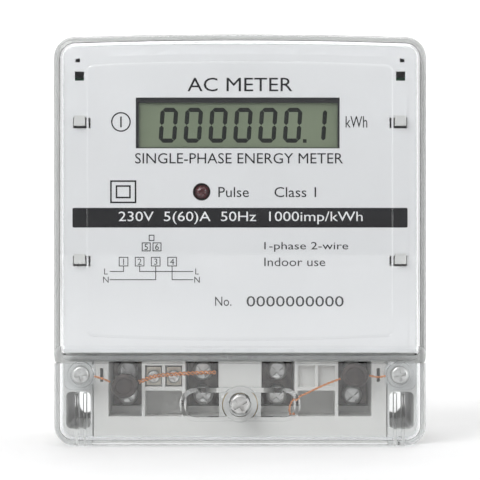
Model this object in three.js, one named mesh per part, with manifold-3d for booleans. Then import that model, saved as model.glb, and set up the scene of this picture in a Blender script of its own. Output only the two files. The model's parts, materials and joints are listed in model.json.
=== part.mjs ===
// Single-phase electricity meter for wall mounting, built as an assembly of separate pieces.
//
// Units are millimetres, +Z is up and the front faces -Y. The origin is the middle of the flat
// back that lies on the wall. "Depth" is the distance in front of that wall, so a point at
// depth d has y = -d. Boxes and cylinders below take depths, and toFront() turns them into y.

import * as THREE from "three";
import { mergeVertices } from "three/addons/utils/BufferGeometryUtils.js";
import Module from "manifold-3d";

const wasm = await Module();
wasm.setup();

// ---------------------------------------------------------------------------
// Driving dimensions
// ---------------------------------------------------------------------------
const WIDTH = 113;
const HEIGHT = 125;
const HALF_WIDTH = WIDTH / 2;
const TOP = HEIGHT / 2;
const BOTTOM = -HEIGHT / 2;
const CORNER = 6; // radius of the case corners, seen from the front
const TOP_BOW = 1; // how far the middle of the top edge rises above its ends
const GAP = 0.3; // clearance between pieces that touch on the real meter

const SEAM = 41.4; // depth where the grey base ends and the clear covers begin
const COVER_START = SEAM + GAP;
const BASE_WALL = 2.2;
const BASE_FLOOR = 2.5;
const BACK_TAPER = 0.022; // share by which the upper body is narrower at the wall
const STEP_Z = -44; // below this height the base keeps its full width at the back

const PARTITION = { low: -37.1, high: -34.6 }; // wall between terminals and electronics
const BLOCK = { half: 45, back: 5, front: SEAM - GAP, low: -61.7, high: -37.4 };
const CHAMBER = { half: 5.1, back: 10.8, floor: -52.2, low: -54.2, sill: 27 };
const TERMINAL_X = [-35.3, -11.7, 11.7, 35.3];
const WIRE_DEPTH = 16.5; // depth of the supply wires' axis
const WIRE_HOLE_RADIUS = 4.55;
const TERMINAL = { half: 4.7, back: 11.2, front: 24, low: -51.9, high: -37.7 };
const TERMINAL_BORE_RADIUS = 3.4;
const TERMINAL_SCREW_Z = [-48.7, -41];
const TAIL = { half: 4, back: 12, front: 13.5, high: -28.2 };
const STRAP = { back: 13.8, front: 15.3, low: -34.3, high: -28 };

const PULSE_X = [-26.6, -20.4]; // the two pulse-output terminals
const PULSE_CELLS = [...PULSE_X, 20.4, 26.6]; // the right-hand pair of cells is empty
const PULSE_WIRE_DEPTH = 34.3;
const PULSE_HOLE_RADIUS = 1.6;
const PULSE_CELL = { half: 2.6, back: 31.2, low: -45.1, high: -38.6 };

const SEAL_SCREW_Z = -50; // captive screw in the middle of the terminal cover
const COVER_SCREW = { x: 48.6, z: -41.1 };
const WALL_SLOT = { x: 49.7, z: -52.3, width: 6.6, length: 8 };
const POCKET = { inner: 45.9, outer: 53.4, low: -58, high: -46.6 };
const BACK_WINDOW = { x: 50.6, z: -40, width: 5.8, height: 8.6, depth: 27 };
const KEYHOLE = { z: 47.3, radius: 4.95, slotRadius: 2.65, slotTop: 54.6 };

const POSTS = [[47.1, 45.4], [49.2, -28.6]]; // board posts, mirrored left and right
const POST_TOP = 32.7;
const BOARD = { back: 33, front: 34.6, half: 52, low: -32, high: 50.5 };
const SNAP_X = 48.9;
const SNAP_Z = [35.7, -6.4]; // hooks that hold the nameplate

const PLATE = { back: 44.6, front: 45.4, half: 51.2, low: -33.4, high: 56.8 };
const DISPLAY = { x: -0.7, z: 35.7, width: 62.2, height: 15.5 };
const LED = { x: -11.7, z: 14.7, radius: 2.5 };

const MAIN_FRONT = 51.2; // front face of the clear main cover
const PANEL_FRONT = 52.2; // its raised middle panel
const MAIN_WALL = 2;
const TERMINAL_COVER_FRONT = 50;
const TERMINAL_COVER_WALL = 1.8;

const SIDES = [-1, 1];

// ---------------------------------------------------------------------------
// Shape helpers
// ---------------------------------------------------------------------------
function toSolid(geometry) {
  const bare = geometry.clone();
  bare.deleteAttribute("normal");
  bare.deleteAttribute("uv");
  const merged = mergeVertices(bare, 1e-4);
  const triVerts = new Uint32Array(merged.index.array);
  const vertProperties = new Float32Array(merged.attributes.position.array);
  const made = new wasm.Manifold(new wasm.Mesh({ numProp: 3, vertProperties, triVerts }));
  if (made.volume() >= 0) return made;
  const turned = triVerts.slice();
  for (let i = 0; i < turned.length; i += 3) {
    turned[i] = triVerts[i + 1];
    turned[i + 1] = triVerts[i];
  }
  return new wasm.Manifold(new wasm.Mesh({ numProp: 3, vertProperties, triVerts: turned }));
}

function toGeometry(solid) {
  const mesh = solid.getMesh();
  const places = new Float32Array(mesh.numVert * 3);
  for (let i = 0; i < mesh.numVert; i++) {
    const start = i * mesh.numProp;
    places.set(mesh.vertProperties.subarray(start, start + 3), i * 3);
  }
  const geometry = new THREE.BufferGeometry();
  geometry.setAttribute("position", new THREE.BufferAttribute(places, 3));
  geometry.setIndex(new THREE.BufferAttribute(mesh.triVerts, 1));
  geometry.computeVertexNormals();
  return geometry;
}

const union = (solids) => solids.reduce((all, one) => all.add(one));

// A box between two values of x, of depth and of z.
function box(x0, x1, d0, d1, z0, z1) {
  const geometry = new THREE.BoxGeometry(Math.abs(x1 - x0), d1 - d0, z1 - z0);
  geometry.translate((x0 + x1) / 2, -(d0 + d1) / 2, (z0 + z1) / 2);
  return toSolid(geometry);
}

// Cylinders along the depth, along Z and along X.
function rodDeep(x, z, radius, d0, d1, sides = 20) {
  const geometry = new THREE.CylinderGeometry(radius, radius, d1 - d0, sides);
  geometry.translate(x, -(d0 + d1) / 2, z);
  return toSolid(geometry);
}

function rodUp(x, depth, radius, z0, z1, sides = 20) {
  const geometry = new THREE.CylinderGeometry(radius, radius, z1 - z0, sides);
  geometry.rotateX(Math.PI / 2).translate(x, -depth, (z0 + z1) / 2);
  return toSolid(geometry);
}

function rodAcross(x0, x1, depth, z, radius, sides = 16) {
  const geometry = new THREE.CylinderGeometry(radius, radius, x1 - x0, sides);
  geometry.rotateZ(Math.PI / 2).translate((x0 + x1) / 2, -depth, z);
  return toSolid(geometry);
}

// An outline drawn as the front view shows it, extruded from depth d0 to depth d1.
function extrudeDeep(shape, d0, d1, curveSegments = 3, bevel = 0) {
  const options = { depth: d1 - d0 - 2 * bevel, curveSegments, bevelEnabled: bevel > 0 };
  if (bevel > 0) {
    Object.assign(options, {
      bevelThickness: bevel,
      bevelSize: bevel,
      bevelOffset: -bevel,
      bevelSegments: 3,
    });
  }
  const geometry = new THREE.ExtrudeGeometry(shape, options);
  geometry.rotateX(Math.PI / 2).translate(0, -(d0 + bevel), 0);
  return geometry;
}

// An outline of [depth, z] points extruded from x0 to x1.
function extrudeAcross(points, x0, x1) {
  const shape = new THREE.Shape(points.map(([d, z]) => new THREE.Vector2(-d, z)));
  const geometry = new THREE.ExtrudeGeometry(shape, { depth: x1 - x0, bevelEnabled: false });
  const turn = new THREE.Matrix4().makeBasis(
    new THREE.Vector3(0, 1, 0),
    new THREE.Vector3(0, 0, 1),
    new THREE.Vector3(1, 0, 0),
  );
  geometry.applyMatrix4(turn).translate(x0, 0, 0);
  return toSolid(geometry);
}

// A rounded rectangle with its own radius at the bottom and the top, and a bowed top edge.
function caseOutline(half, low, high, lowRadius, highRadius, bow = 0) {
  const shape = new THREE.Shape();
  const shoulder = high - bow;
  const quarter = Math.PI / 2;
  shape.moveTo(-half + lowRadius, low);
  shape.lineTo(half - lowRadius, low);
  if (lowRadius) shape.absarc(half - lowRadius, low + lowRadius, lowRadius, -quarter, 0);
  shape.lineTo(half, shoulder - highRadius);
  if (highRadius) shape.absarc(half - highRadius, shoulder - highRadius, highRadius, 0, quarter);
  shape.quadraticCurveTo(0, high + bow, -half + highRadius, shoulder);
  if (highRadius) {
    shape.absarc(-half + highRadius, shoulder - highRadius, highRadius, quarter, 2 * quarter);
  }
  shape.lineTo(-half, low + lowRadius);
  if (lowRadius) {
    shape.absarc(-half + lowRadius, low + lowRadius, lowRadius, 2 * quarter, 3 * quarter);
  }
  return shape;
}

// A slot with round ends, across or upright, centred on x and z.
function slotOutline(x, z, width, height) {
  const radius = Math.min(width, height) / 2;
  const run = Math.abs(width - height) / 2;
  const across = width > height;
  const start = across ? -Math.PI / 2 : 0;
  const shape = new THREE.Shape();
  const [dx, dz] = across ? [run, 0] : [0, run];
  shape.absarc(x + dx, z + dz, radius, start, start + Math.PI);
  shape.absarc(x - dx, z - dz, radius, start + Math.PI, start + 2 * Math.PI);
  return shape;
}

const slotDeep = (x, z, width, height, d0, d1) =>
  toSolid(extrudeDeep(slotOutline(x, z, width, height), d0, d1, 5));

// The upper body is narrower at the wall than at the seam.
function tapered(geometry) {
  const places = geometry.attributes.position;
  for (let i = 0; i < places.count; i++) {
    const depth = -places.getY(i);
    places.setX(i, places.getX(i) * (1 - BACK_TAPER * (1 - depth / SEAM)));
  }
  return toSolid(geometry);
}

// A turned piece: [radius, depth] points from one end of the axis to the other.
function turned(x, z, profile, sides = 16) {
  const points = profile.map(([radius, depth]) => new THREE.Vector2(radius, -depth));
  const geometry = new THREE.LatheGeometry(points, sides);
  geometry.translate(x, 0, z);
  return toSolid(geometry);
}

// A round-headed screw facing the front. seat is the depth of the head's underside.
function screw(x, z, { headRadius, headHeight, shankRadius, length, seat, sides = 16 }) {
  const tip = seat - length;
  const top = seat + headHeight;
  const body = turned(x, z, [
    [0, tip],
    [shankRadius * 0.7, tip],
    [shankRadius, tip + shankRadius * 0.5],
    [shankRadius, seat],
    [headRadius, seat],
    [headRadius, seat + headHeight * 0.6],
    [headRadius * 0.78, top],
    [0, top],
  ], sides);
  const arm = headRadius * 0.62;
  const slot = headRadius * 0.14;
  const floor = top - headHeight * 0.5;
  return body
    .subtract(box(x - arm, x + arm, floor, top + 1, z - slot, z + slot))
    .subtract(box(x - slot, x + slot, floor, top + 1, z - arm, z + arm));
}

// A round wire through [x, depth, z] points.
function wire(points, radius, steps = 16) {
  const path = new THREE.CatmullRomCurve3(points.map(([x, d, z]) => new THREE.Vector3(x, -d, z)));
  const section = new THREE.Shape();
  section.absarc(0, 0, radius, 0, 2 * Math.PI);
  const geometry = new THREE.ExtrudeGeometry(section, {
    steps,
    curveSegments: 4,
    extrudePath: path,
    bevelEnabled: false,
  });
  return toSolid(geometry);
}

// ---------------------------------------------------------------------------
// Case
// ---------------------------------------------------------------------------
function baseHousing() {
  const beyond = SEAM + 1;
  const outer = caseOutline(HALF_WIDTH, STEP_Z - 6, TOP, 0, CORNER, TOP_BOW);
  const flange = caseOutline(HALF_WIDTH, BOTTOM, STEP_Z, CORNER, 0);
  const inner = caseOutline(
    HALF_WIDTH - BASE_WALL, PARTITION.high, TOP - BASE_WALL, 1, CORNER - BASE_WALL, TOP_BOW,
  );
  let body = tapered(extrudeDeep(outer, 0, SEAM, 4))
    .add(toSolid(extrudeDeep(flange, 0, SEAM, 4)))
    .subtract(tapered(extrudeDeep(inner, BASE_FLOOR, beyond, 3)));

  // The closed pocket behind the keyhole, and the nameplate's snap posts.
  body = body.add(box(-7.5, 7.5, 2, 9.5, 40.5, 60.8));
  for (const side of SIDES) {
    for (const [x, z] of POSTS) body = body.add(rodDeep(side * x, z, 3.2, 2, POST_TOP, 16));
    for (const z of SNAP_Z) {
      const [x0, x1] = [side * SNAP_X - 1.7, side * SNAP_X + 1.7];
      body = body.add(box(x0, x1, 2, 46.8, z - 0.9, z + 0.9));
      body = body.add(box(x0, x1, PLATE.front + GAP, 46.8, z - 0.9, z + 2.2));
    }
  }

  const cuts = [
    box(-BLOCK.half - GAP, BLOCK.half + GAP, BLOCK.back - GAP, beyond, -63, PARTITION.low),
    box(-44.6, 44.6, -1, 1.2, -63, -39), // the terminal end stands clear of the wall
    box(-6, 6, BASE_FLOOR, 8, 42, 58.6),
    rodDeep(0, KEYHOLE.z, KEYHOLE.radius, -1, 3, 28),
    slotDeep(
      0, (KEYHOLE.z + KEYHOLE.slotTop) / 2, 2 * KEYHOLE.slotRadius,
      KEYHOLE.slotTop - KEYHOLE.z + 2 * KEYHOLE.slotRadius, -1, 3,
    ),
    box(-28.4, -18.6, 29.6, 33.2, PARTITION.low - 1, PARTITION.high + 1), // pulse wires
  ];
  for (const x of TERMINAL_X) {
    cuts.push(box(x - 4.4, x + 4.4, 11.4, 14.2, PARTITION.low - 1, PARTITION.high + 1));
  }
  for (const side of SIDES) {
    const middle = side * (POCKET.inner + POCKET.outer) / 2;
    const half = (POCKET.outer - POCKET.inner) / 2;
    const pocket = caseOutline(half, POCKET.low, POCKET.high, 1.5, 1.5);
    cuts.push(toSolid(extrudeDeep(pocket, 4.2, beyond, 2).translate(middle, 0, 0)));
    cuts.push(slotDeep(
      side * WALL_SLOT.x, WALL_SLOT.z, WALL_SLOT.width, WALL_SLOT.length, -1, 6,
    ));
    const window = side * BACK_WINDOW.x;
    cuts.push(box(
      window - BACK_WINDOW.width / 2, window + BACK_WINDOW.width / 2, -1, BACK_WINDOW.depth,
      BACK_WINDOW.z - BACK_WINDOW.height / 2, BACK_WINDOW.z + BACK_WINDOW.height / 2,
    ));
    cuts.push(rodDeep(side * COVER_SCREW.x, COVER_SCREW.z, 1.3, 30, beyond, 12));
    cuts.push(box(side * 36.3 - 0.7, side * 36.3 + 0.7, -1, 1.4, 55.2, 60.6));
    for (const [x, z] of POSTS) {
      cuts.push(rodDeep(side * x, z, 1.2, 22, POST_TOP + 1, 12));
      cuts.push(rodDeep(side * x, z, 1.35, -1, 12, 16));
    }
  }
  return body.subtract(union(cuts));
}

function mainCover() {
  const low = PARTITION.low;
  const outer = caseOutline(HALF_WIDTH, low - 8, TOP, 0, CORNER, TOP_BOW);
  const hollow = caseOutline(
    HALF_WIDTH - MAIN_WALL, low + MAIN_WALL, TOP - MAIN_WALL, 2, CORNER - MAIN_WALL, TOP_BOW,
  );
  const panel = caseOutline(46.4, -29.4, 54.2, 1.5, 1.5, 1.2);
  panel.autoClose = true;
  const ahead = box(-60, 60, COVER_START, 60, low, 70);
  let shell = toSolid(extrudeDeep(outer, 20, MAIN_FRONT, 4, 2.6)).intersect(ahead);

  // The lower edge slopes down to the terminal cover.
  const slope = [[48.2, low - 1], [48.2, low], [MAIN_FRONT + 0.1, low + 5], [55, low + 5], [55, low - 1]];
  shell = shell.subtract(extrudeAcross(slope, -60, 60));
  shell = shell.add(toSolid(extrudeDeep(panel, 45, PANEL_FRONT, 4, 0.8)));
  shell = shell.subtract(toSolid(extrudeDeep(hollow, 30, MAIN_FRONT - MAIN_WALL, 4, 1.4)));

  // A tongue that drops inside the base's wall keeps the seam closed.
  const tongueOut = caseOutline(53.8, -32, TOP - 2.6, 0, 3.4, TOP_BOW);
  const tongueIn = caseOutline(52.7, -40, TOP - 3.8, 0, 2.4, TOP_BOW);
  const shoulder = caseOutline(55, -32, TOP - 1.2, 0, 4.4, TOP_BOW);
  const tongue = toSolid(extrudeDeep(tongueOut, 38.4, 43, 3))
    .add(toSolid(extrudeDeep(shoulder, COVER_START, 43.2, 3)))
    .subtract(toSolid(extrudeDeep(tongueIn, 30, 50, 3)));
  shell = shell.add(tongue);

  // Two ears reach under the terminal cover and take the cover screws.
  for (const side of SIDES) {
    shell = shell.add(box(side * 44.4, side * 53.8, COVER_START, 44.2, -45.9, low + 1));
    shell = shell.add(rodDeep(side * COVER_SCREW.x, COVER_SCREW.z, 3.9, COVER_START, 46.4));
  }
  for (const side of SIDES) {
    shell = shell.subtract(rodDeep(side * COVER_SCREW.x, COVER_SCREW.z, 1.8, 40, 50, 16));
    shell = shell.subtract(rodDeep(side * COVER_SCREW.x, COVER_SCREW.z, 3.1, 44.6, 50, 16));
  }
  return shell;
}

// A finger groove beside the middle screw: a tilted cylinder that sinks towards the screw.
function gripGroove(side, radius) {
  const inner = new THREE.Vector3(side * 3.5, -48.5, SEAL_SCREW_Z);
  const outer = new THREE.Vector3(side * 20, -54.25, SEAL_SCREW_Z);
  const along = outer.clone().sub(inner);
  const geometry = new THREE.CylinderGeometry(radius, radius, along.length(), 20);
  const turn = new THREE.Quaternion().setFromUnitVectors(
    new THREE.Vector3(0, 1, 0), along.clone().normalize(),
  );
  geometry.applyQuaternion(turn);
  const middle = inner.clone().add(outer).multiplyScalar(0.5);
  geometry.translate(middle.x, middle.y, middle.z);
  return toSolid(geometry);
}

function terminalCover() {
  const high = BLOCK.high;
  const outer = caseOutline(HALF_WIDTH, BOTTOM, high + 8, CORNER, 0);
  const hollow = caseOutline(
    HALF_WIDTH - TERMINAL_COVER_WALL, BOTTOM + TERMINAL_COVER_WALL, high + 8,
    CORNER - TERMINAL_COVER_WALL, 0,
  );
  const inside = TERMINAL_COVER_FRONT - TERMINAL_COVER_WALL;
  const zone = box(-60, 60, COVER_START, 60, -70, high);
  const face = box(-20, 20, COVER_START, TERMINAL_COVER_FRONT, -70, high);
  let shell = toSolid(extrudeDeep(outer, 20, TERMINAL_COVER_FRONT, 4, 2.4)).intersect(zone);
  shell = shell.subtract(toSolid(extrudeDeep(hollow, 20, inside, 4, 1.2)));
  for (const side of SIDES) shell = shell.add(gripGroove(side, 5.2).intersect(face));
  for (const side of SIDES) shell = shell.subtract(gripGroove(side, 3.75));
  for (const side of SIDES) {
    for (const x of [47.2, 49.6]) {
      shell = shell.add(box(side * x - 0.45, side * x + 0.45, 43, inside + 0.5, -60.9, -46.6));
    }
  }
  return shell
    .add(rodDeep(0, SEAL_SCREW_Z, 5.45, 41.9, TERMINAL_COVER_FRONT, 28))
    .subtract(rodDeep(0, SEAL_SCREW_Z, 2.2, 40, 51, 16))
    .subtract(rodDeep(0, SEAL_SCREW_Z, 3.7, 46.4, 51, 20));
}

// ---------------------------------------------------------------------------
// Terminal block
// ---------------------------------------------------------------------------
function terminalBlock() {
  const face = BLOCK.low;
  const beyond = SEAM + 1;
  const cuts = [rodDeep(0, SEAL_SCREW_Z, 3.3, 32.6, beyond)];
  for (const x of TERMINAL_X) {
    const { half, back, floor, low, sill } = CHAMBER;
    cuts.push(box(x - half, x + half, back, beyond, floor, BLOCK.high + 1));
    cuts.push(box(x - half, x + half, sill, beyond, low, floor + 1));
    cuts.push(rodUp(x, WIRE_DEPTH, WIRE_HOLE_RADIUS, face - 1, floor + 1, 28));
  }
  for (const x of PULSE_CELLS) {
    const { half, back, low, high } = PULSE_CELL;
    cuts.push(box(x - half, x + half, back, beyond, low, high));
  }
  for (const x of PULSE_X) {
    cuts.push(rodUp(x, PULSE_WIRE_DEPTH, PULSE_HOLE_RADIUS, face - 1, PULSE_CELL.low + 1, 16));
    cuts.push(rodUp(x, 32.4, 1, PULSE_CELL.high - 1, BLOCK.high + 1, 12));
  }
  for (const side of SIDES) {
    cuts.push(box(side * 17.8, side * 29.2, 31, beyond, CHAMBER.low, -46.3));
    cuts.push(box(side * 42, side * 43, 34, beyond, -43.6, -39.4)); // sealing wire's slot
  }

  // The face has a sunk panel, with a round boss about each wire hole and oval ones above.
  const oval = (side, width, height, z0, z1) => {
    const shape = slotOutline(side * 23.5, 0, width, height);
    const geometry = new THREE.ExtrudeGeometry(shape, {
      depth: z1 - z0, curveSegments: 5, bevelEnabled: false,
    });
    return toSolid(geometry.translate(0, -PULSE_WIRE_DEPTH, z0));
  };
  let panel = box(-42.3, 42.3, 8.4, 38.5, face - 1, face + 0.9);
  for (const x of TERMINAL_X) {
    panel = panel.subtract(rodUp(x, WIRE_DEPTH, 8.5, face - 2, face + 2, 28));
  }
  for (const side of SIDES) panel = panel.subtract(oval(side, 14.7, 8.9, face - 2, face + 2));
  cuts.push(panel, oval(-1, 10.8, 4.8, face - 1, face + 0.6), oval(1, 10.8, 4.8, face - 1, face + 2));

  return box(-BLOCK.half, BLOCK.half, BLOCK.back, BLOCK.front, face, BLOCK.high)
    .subtract(union(cuts));
}

function terminal(x) {
  const { half, back, front, low, high } = TERMINAL;
  let bar = box(x - half, x + half, back, front, low, high)
    .add(box(x - TAIL.half, x + TAIL.half, TAIL.back, TAIL.front, high - 1, TAIL.high))
    .subtract(rodUp(x, WIRE_DEPTH, TERMINAL_BORE_RADIUS, low - 1, -38.3, 20));
  for (const z of TERMINAL_SCREW_Z) bar = bar.subtract(rodDeep(x, z, 2.65, WIRE_DEPTH, 25, 16));
  return bar;
}

const terminalScrew = (x, z) => screw(x, z, {
  headRadius: 3.15, headHeight: 3.2, shankRadius: 2.4, length: 10.3, seat: TERMINAL.front + GAP,
  sides: 18,
});

// A small brass clamp for a signal wire, with its hole along Z and its screw from the front.
const pulseTerminal = (x) =>
  box(x - 2.25, x + 2.25, 31.5, 38, PULSE_CELL.low + GAP, -39.2)
    .subtract(rodUp(x, PULSE_WIRE_DEPTH, 1.45, PULSE_CELL.low - 1, -40.4, 14))
    .subtract(rodDeep(x, -42.1, 1.3, PULSE_WIRE_DEPTH, 39, 12));

const pulseScrew = (x) => screw(x, -42.1, {
  headRadius: 2.1, headHeight: 1.7, shankRadius: 1.1, length: 5.1, seat: 38.3, sides: 14,
});

// ---------------------------------------------------------------------------
// Display, nameplate and electronics
// ---------------------------------------------------------------------------
function nameplate() {
  const { back, front, half, low, high } = PLATE;
  const shape = caseOutline(half, low, high, 1.5, 1.5, 1);
  const d0 = back - 1;
  const d1 = front + 1;
  const halfDisplay = DISPLAY.width / 2;
  const cuts = [
    box(DISPLAY.x - halfDisplay, DISPLAY.x + halfDisplay, d0, d1,
      DISPLAY.z - DISPLAY.height / 2, DISPLAY.z + DISPLAY.height / 2),
    rodDeep(LED.x, LED.z, LED.radius + 0.2, d0, d1),
  ];
  for (const side of SIDES) {
    for (const z of SNAP_Z) cuts.push(box(side * 45.6, side * 51, d0, d1, z - 1.6, z + 1.6));
    cuts.push(box(side * 48.8, side * 50.2, d0, d1, 54.2, 55.4));
    cuts.push(box(side * 47.6, side * 50.4, d0, d1, 48.6, 51.4));
  }
  return toSolid(extrudeDeep(shape, back, front, 4)).subtract(union(cuts));
}

// A frame that clamps the display glass to its rubber contact strips.
function displayBezel() {
  const { x, z } = DISPLAY;
  const back = BOARD.front + GAP;
  return box(x - 35, x + 35, back, 44.3, z - 12, z + 12)
    .subtract(box(x - 33.2, x + 33.2, back - 1, 43.5, z - 10.2, z + 10.2))
    .subtract(box(x - 30.3, x + 30.6, 43, 45, z - 7.5, z + 6.3));
}

const displayGlass = () =>
  box(DISPLAY.x - 33, DISPLAY.x + 33, 40.5, 43.2, DISPLAY.z - 10, DISPLAY.z + 10);

const contactStrip = (z) =>
  box(DISPLAY.x - 30, DISPLAY.x + 30, BOARD.front + GAP, 40.2, z - 0.9, z + 0.9);

function meteringBoard() {
  let board = box(-BOARD.half, BOARD.half, BOARD.back, BOARD.front, BOARD.low, BOARD.high);
  for (const side of SIDES) {
    for (const [x, z] of POSTS) board = board.subtract(rodDeep(side * x, z, 1.4, 32, 36, 12));
    for (const z of SNAP_Z) {
      board = board.subtract(box(side * 46, side * 60, 32, 36, z - 3.2, z + 3.2));
    }
  }
  return board;
}

const boardScrew = (x, z) => screw(x, z, {
  headRadius: 2.4, headHeight: 1.6, shankRadius: 1, length: 9, seat: BOARD.front + GAP, sides: 12,
});

const pulseLed = () => turned(LED.x, LED.z, [
  [0, 36.9], [2.9, 36.9], [2.9, 37.9], [2.5, 37.9], [2.5, 43.2], [2.2, 44.5], [1.3, 45.4], [0, 45.7],
]);

const crystalCan = () => toSolid(extrudeDeep(slotOutline(-30, -10, 11, 4.6), 34.9, 38.4, 4));
const meteringChip = () => box(5, 15.3, 34.9, 37.2, -2, 5.5);
const controllerChip = () => box(-33, -23, 34.9, 36.4, 1, 11);
const optocoupler = () => box(-30.5, -25.9, 34.9, 38.4, -28.5, -22);
const mainsCapacitor = () => box(11, 29, 17.5, BOARD.back - GAP, 15, 23.5);
const varistor = () => rodAcross(36, 40, 27, -8, 5.2, 20);
const fusibleResistor = () => rodAcross(4, 16, 30.1, -14, 2.2, 14);
const smoothingCapacitor = () => turned(-12, 12, [
  [0, 17], [4.6, 17], [5, 17.5], [5, 30.6], [4.7, 31.2], [5, 31.8], [5, 32.7], [0, 32.7],
], 20);

// The shunt joins the two line terminals, and the link joins the two neutral ones.
const strap = (x0, x1) => box(x0, x1, STRAP.back, STRAP.front, STRAP.low, STRAP.high);
const shuntResistor = () => box(-26.3, -20.7, STRAP.back + 0.2, STRAP.front - 0.2, -33.4, -28.9);

const insertBush = () =>
  rodDeep(0, SEAL_SCREW_Z, 3, 33, 41, 16).subtract(rodDeep(0, SEAL_SCREW_Z, 2.1, 32, 42, 16));

// ---------------------------------------------------------------------------
// Factory seals on the two cover screws
// ---------------------------------------------------------------------------
const sealSlug = (x, z) => turned(x, z, [
  [0, 42.2], [3.4, 42.2], [4.1, 43], [4.1, 45.4], [3.4, 46.2], [0, 46.2],
]);

// ---------------------------------------------------------------------------
// Materials and assembly
// ---------------------------------------------------------------------------
const finish = (color, roughness, metalness = 0, opacity = 1) =>
  new THREE.MeshStandardMaterial({
    color, roughness, metalness, opacity, transparent: opacity < 1,
  });

const greyPlastic = finish(0xc9cac8, 0.5);
const clearPlastic = finish(0xe8eef2, 0.08, 0, 0.3);
const printedPlate = finish(0xe6e7e8, 0.45);
const blackPlastic = finish(0x1b1c1c, 0.5);
const displayGreen = finish(0x7d8873, 0.2);
const contactRubber = finish(0x9a9a9a, 0.8);
const boardGreen = finish(0x1f5a36, 0.4);
const redLens = finish(0x4a0f14, 0.15);
const chipBlack = finish(0x18191b, 0.6);
const tinnedSteel = finish(0xb9bbbd, 0.3, 1);
const platedBrass = finish(0xb3ada3, 0.32, 1);
const zincSteel = finish(0xbcbdbd, 0.28, 1);
const brass = finish(0xb08d3c, 0.3, 1);
const copper = finish(0xb5683c, 0.35, 1);
const manganin = finish(0x8a6a52, 0.45, 1);
const leadGrey = finish(0x3a3431, 0.6, 1);
const capacitorYellow = finish(0xd9b32c, 0.45);
const capacitorSleeve = finish(0x1d2b45, 0.4);
const varistorBlue = finish(0x2a62a8, 0.5);
const resistorBeige = finish(0xcdb98d, 0.6);
const redInsulation = finish(0xa32020, 0.5);
const blackInsulation = finish(0x1c1c1c, 0.5);
const blueInsulation = finish(0x2757a3, 0.5);
const whiteInsulation = finish(0xe2e2dd, 0.5);

const meter = new THREE.Group();
function piece(name, solid, material) {
  const mesh = new THREE.Mesh(toGeometry(solid), material);
  mesh.name = name;
  meter.add(mesh);
}
const sideName = (side) => (side < 0 ? "left" : "right");

piece("base_housing", baseHousing(), greyPlastic);
piece("main_cover", mainCover(), clearPlastic);
piece("terminal_cover", terminalCover(), clearPlastic);
piece("terminal_block", terminalBlock(), greyPlastic);
piece("nameplate", nameplate(), printedPlate);

piece("display_bezel", displayBezel(), blackPlastic);
piece("display_glass", displayGlass(), displayGreen);
piece("contact_strip_upper", contactStrip(DISPLAY.z + 9), contactRubber);
piece("contact_strip_lower", contactStrip(DISPLAY.z - 9), contactRubber);
piece("metering_board", meteringBoard(), boardGreen);
piece("pulse_led", pulseLed(), redLens);
piece("crystal_can", crystalCan(), tinnedSteel);
piece("metering_chip", meteringChip(), chipBlack);
piece("controller_chip", controllerChip(), chipBlack);
piece("optocoupler", optocoupler(), chipBlack);
piece("mains_capacitor", mainsCapacitor(), capacitorYellow);
piece("smoothing_capacitor", smoothingCapacitor(), capacitorSleeve);
piece("varistor", varistor(), varistorBlue);
piece("fusible_resistor", fusibleResistor(), resistorBeige);

for (const side of SIDES) {
  const name = sideName(side);
  POSTS.forEach(([x, z], i) => {
    piece(`board_screw_${i ? "lower" : "upper"}_${name}`, boardScrew(side * x, z), zincSteel);
  });
  const { x, z } = COVER_SCREW;
  piece(`cover_screw_${name}`, screw(side * x, z, {
    headRadius: 2.75, headHeight: 2.2, shankRadius: 1.15, length: 13.5, seat: 44.9,
  }), zincSteel);
}

TERMINAL_X.forEach((x, i) => {
  piece(`terminal_${i + 1}`, terminal(x), platedBrass);
  TERMINAL_SCREW_Z.forEach((z, j) => {
    piece(`terminal_screw_${i + 1}_${j ? "upper" : "lower"}`, terminalScrew(x, z), zincSteel);
  });
});
PULSE_X.forEach((x, i) => {
  piece(`pulse_terminal_${i + 5}`, pulseTerminal(x), brass);
  piece(`pulse_screw_${i + 5}`, pulseScrew(x), zincSteel);
});

piece("shunt_strap_in", strap(-39.3, -26.6), copper);
piece("shunt_resistor", shuntResistor(), manganin);
piece("shunt_strap_out", strap(-20.4, -7.7), copper);
piece("neutral_link", strap(7.7, 39.3), copper);

piece("insert_bush", insertBush(), brass);
piece("seal_screw", screw(0, SEAL_SCREW_Z, {
  headRadius: 3.2, headHeight: 2.6, shankRadius: 1.8, length: 12, seat: 46.7, sides: 20,
}), zincSteel);

piece("lead_seal_left", sealSlug(-35.3, -44.6), leadGrey);
piece("lead_seal_right", sealSlug(35.1, -41.3), leadGrey);
piece("seal_wire_loop_left", wire([
  [-44.4, 45.4, -41.6], [-42, 45.2, -42.3], [-39.7, 44.4, -43.4],
], 0.45, 6), copper);
piece("seal_wire_loop_right", wire([
  [44.4, 45.4, -41.5], [42, 45.3, -41.8], [39.5, 44.4, -41.4],
], 0.45, 6), copper);
piece("seal_wire_tail_left", wire([
  [-30.9, 44.2, -43.4], [-26, 44.8, -41.6], [-20, 44.6, -41], [-14, 44.1, -40.7], [-7.5, 43.6, -40.5],
], 0.8, 16), copper);
piece("seal_wire_tail_right", wire([
  [30.7, 44.2, -42.4], [26, 44.4, -44.2], [20.5, 44.2, -46.8], [16.6, 43.4, -48.8], [15.3, 42.6, -51.4],
  [15.6, 42.3, -53.6],
], 0.45, 16), copper);

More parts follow.
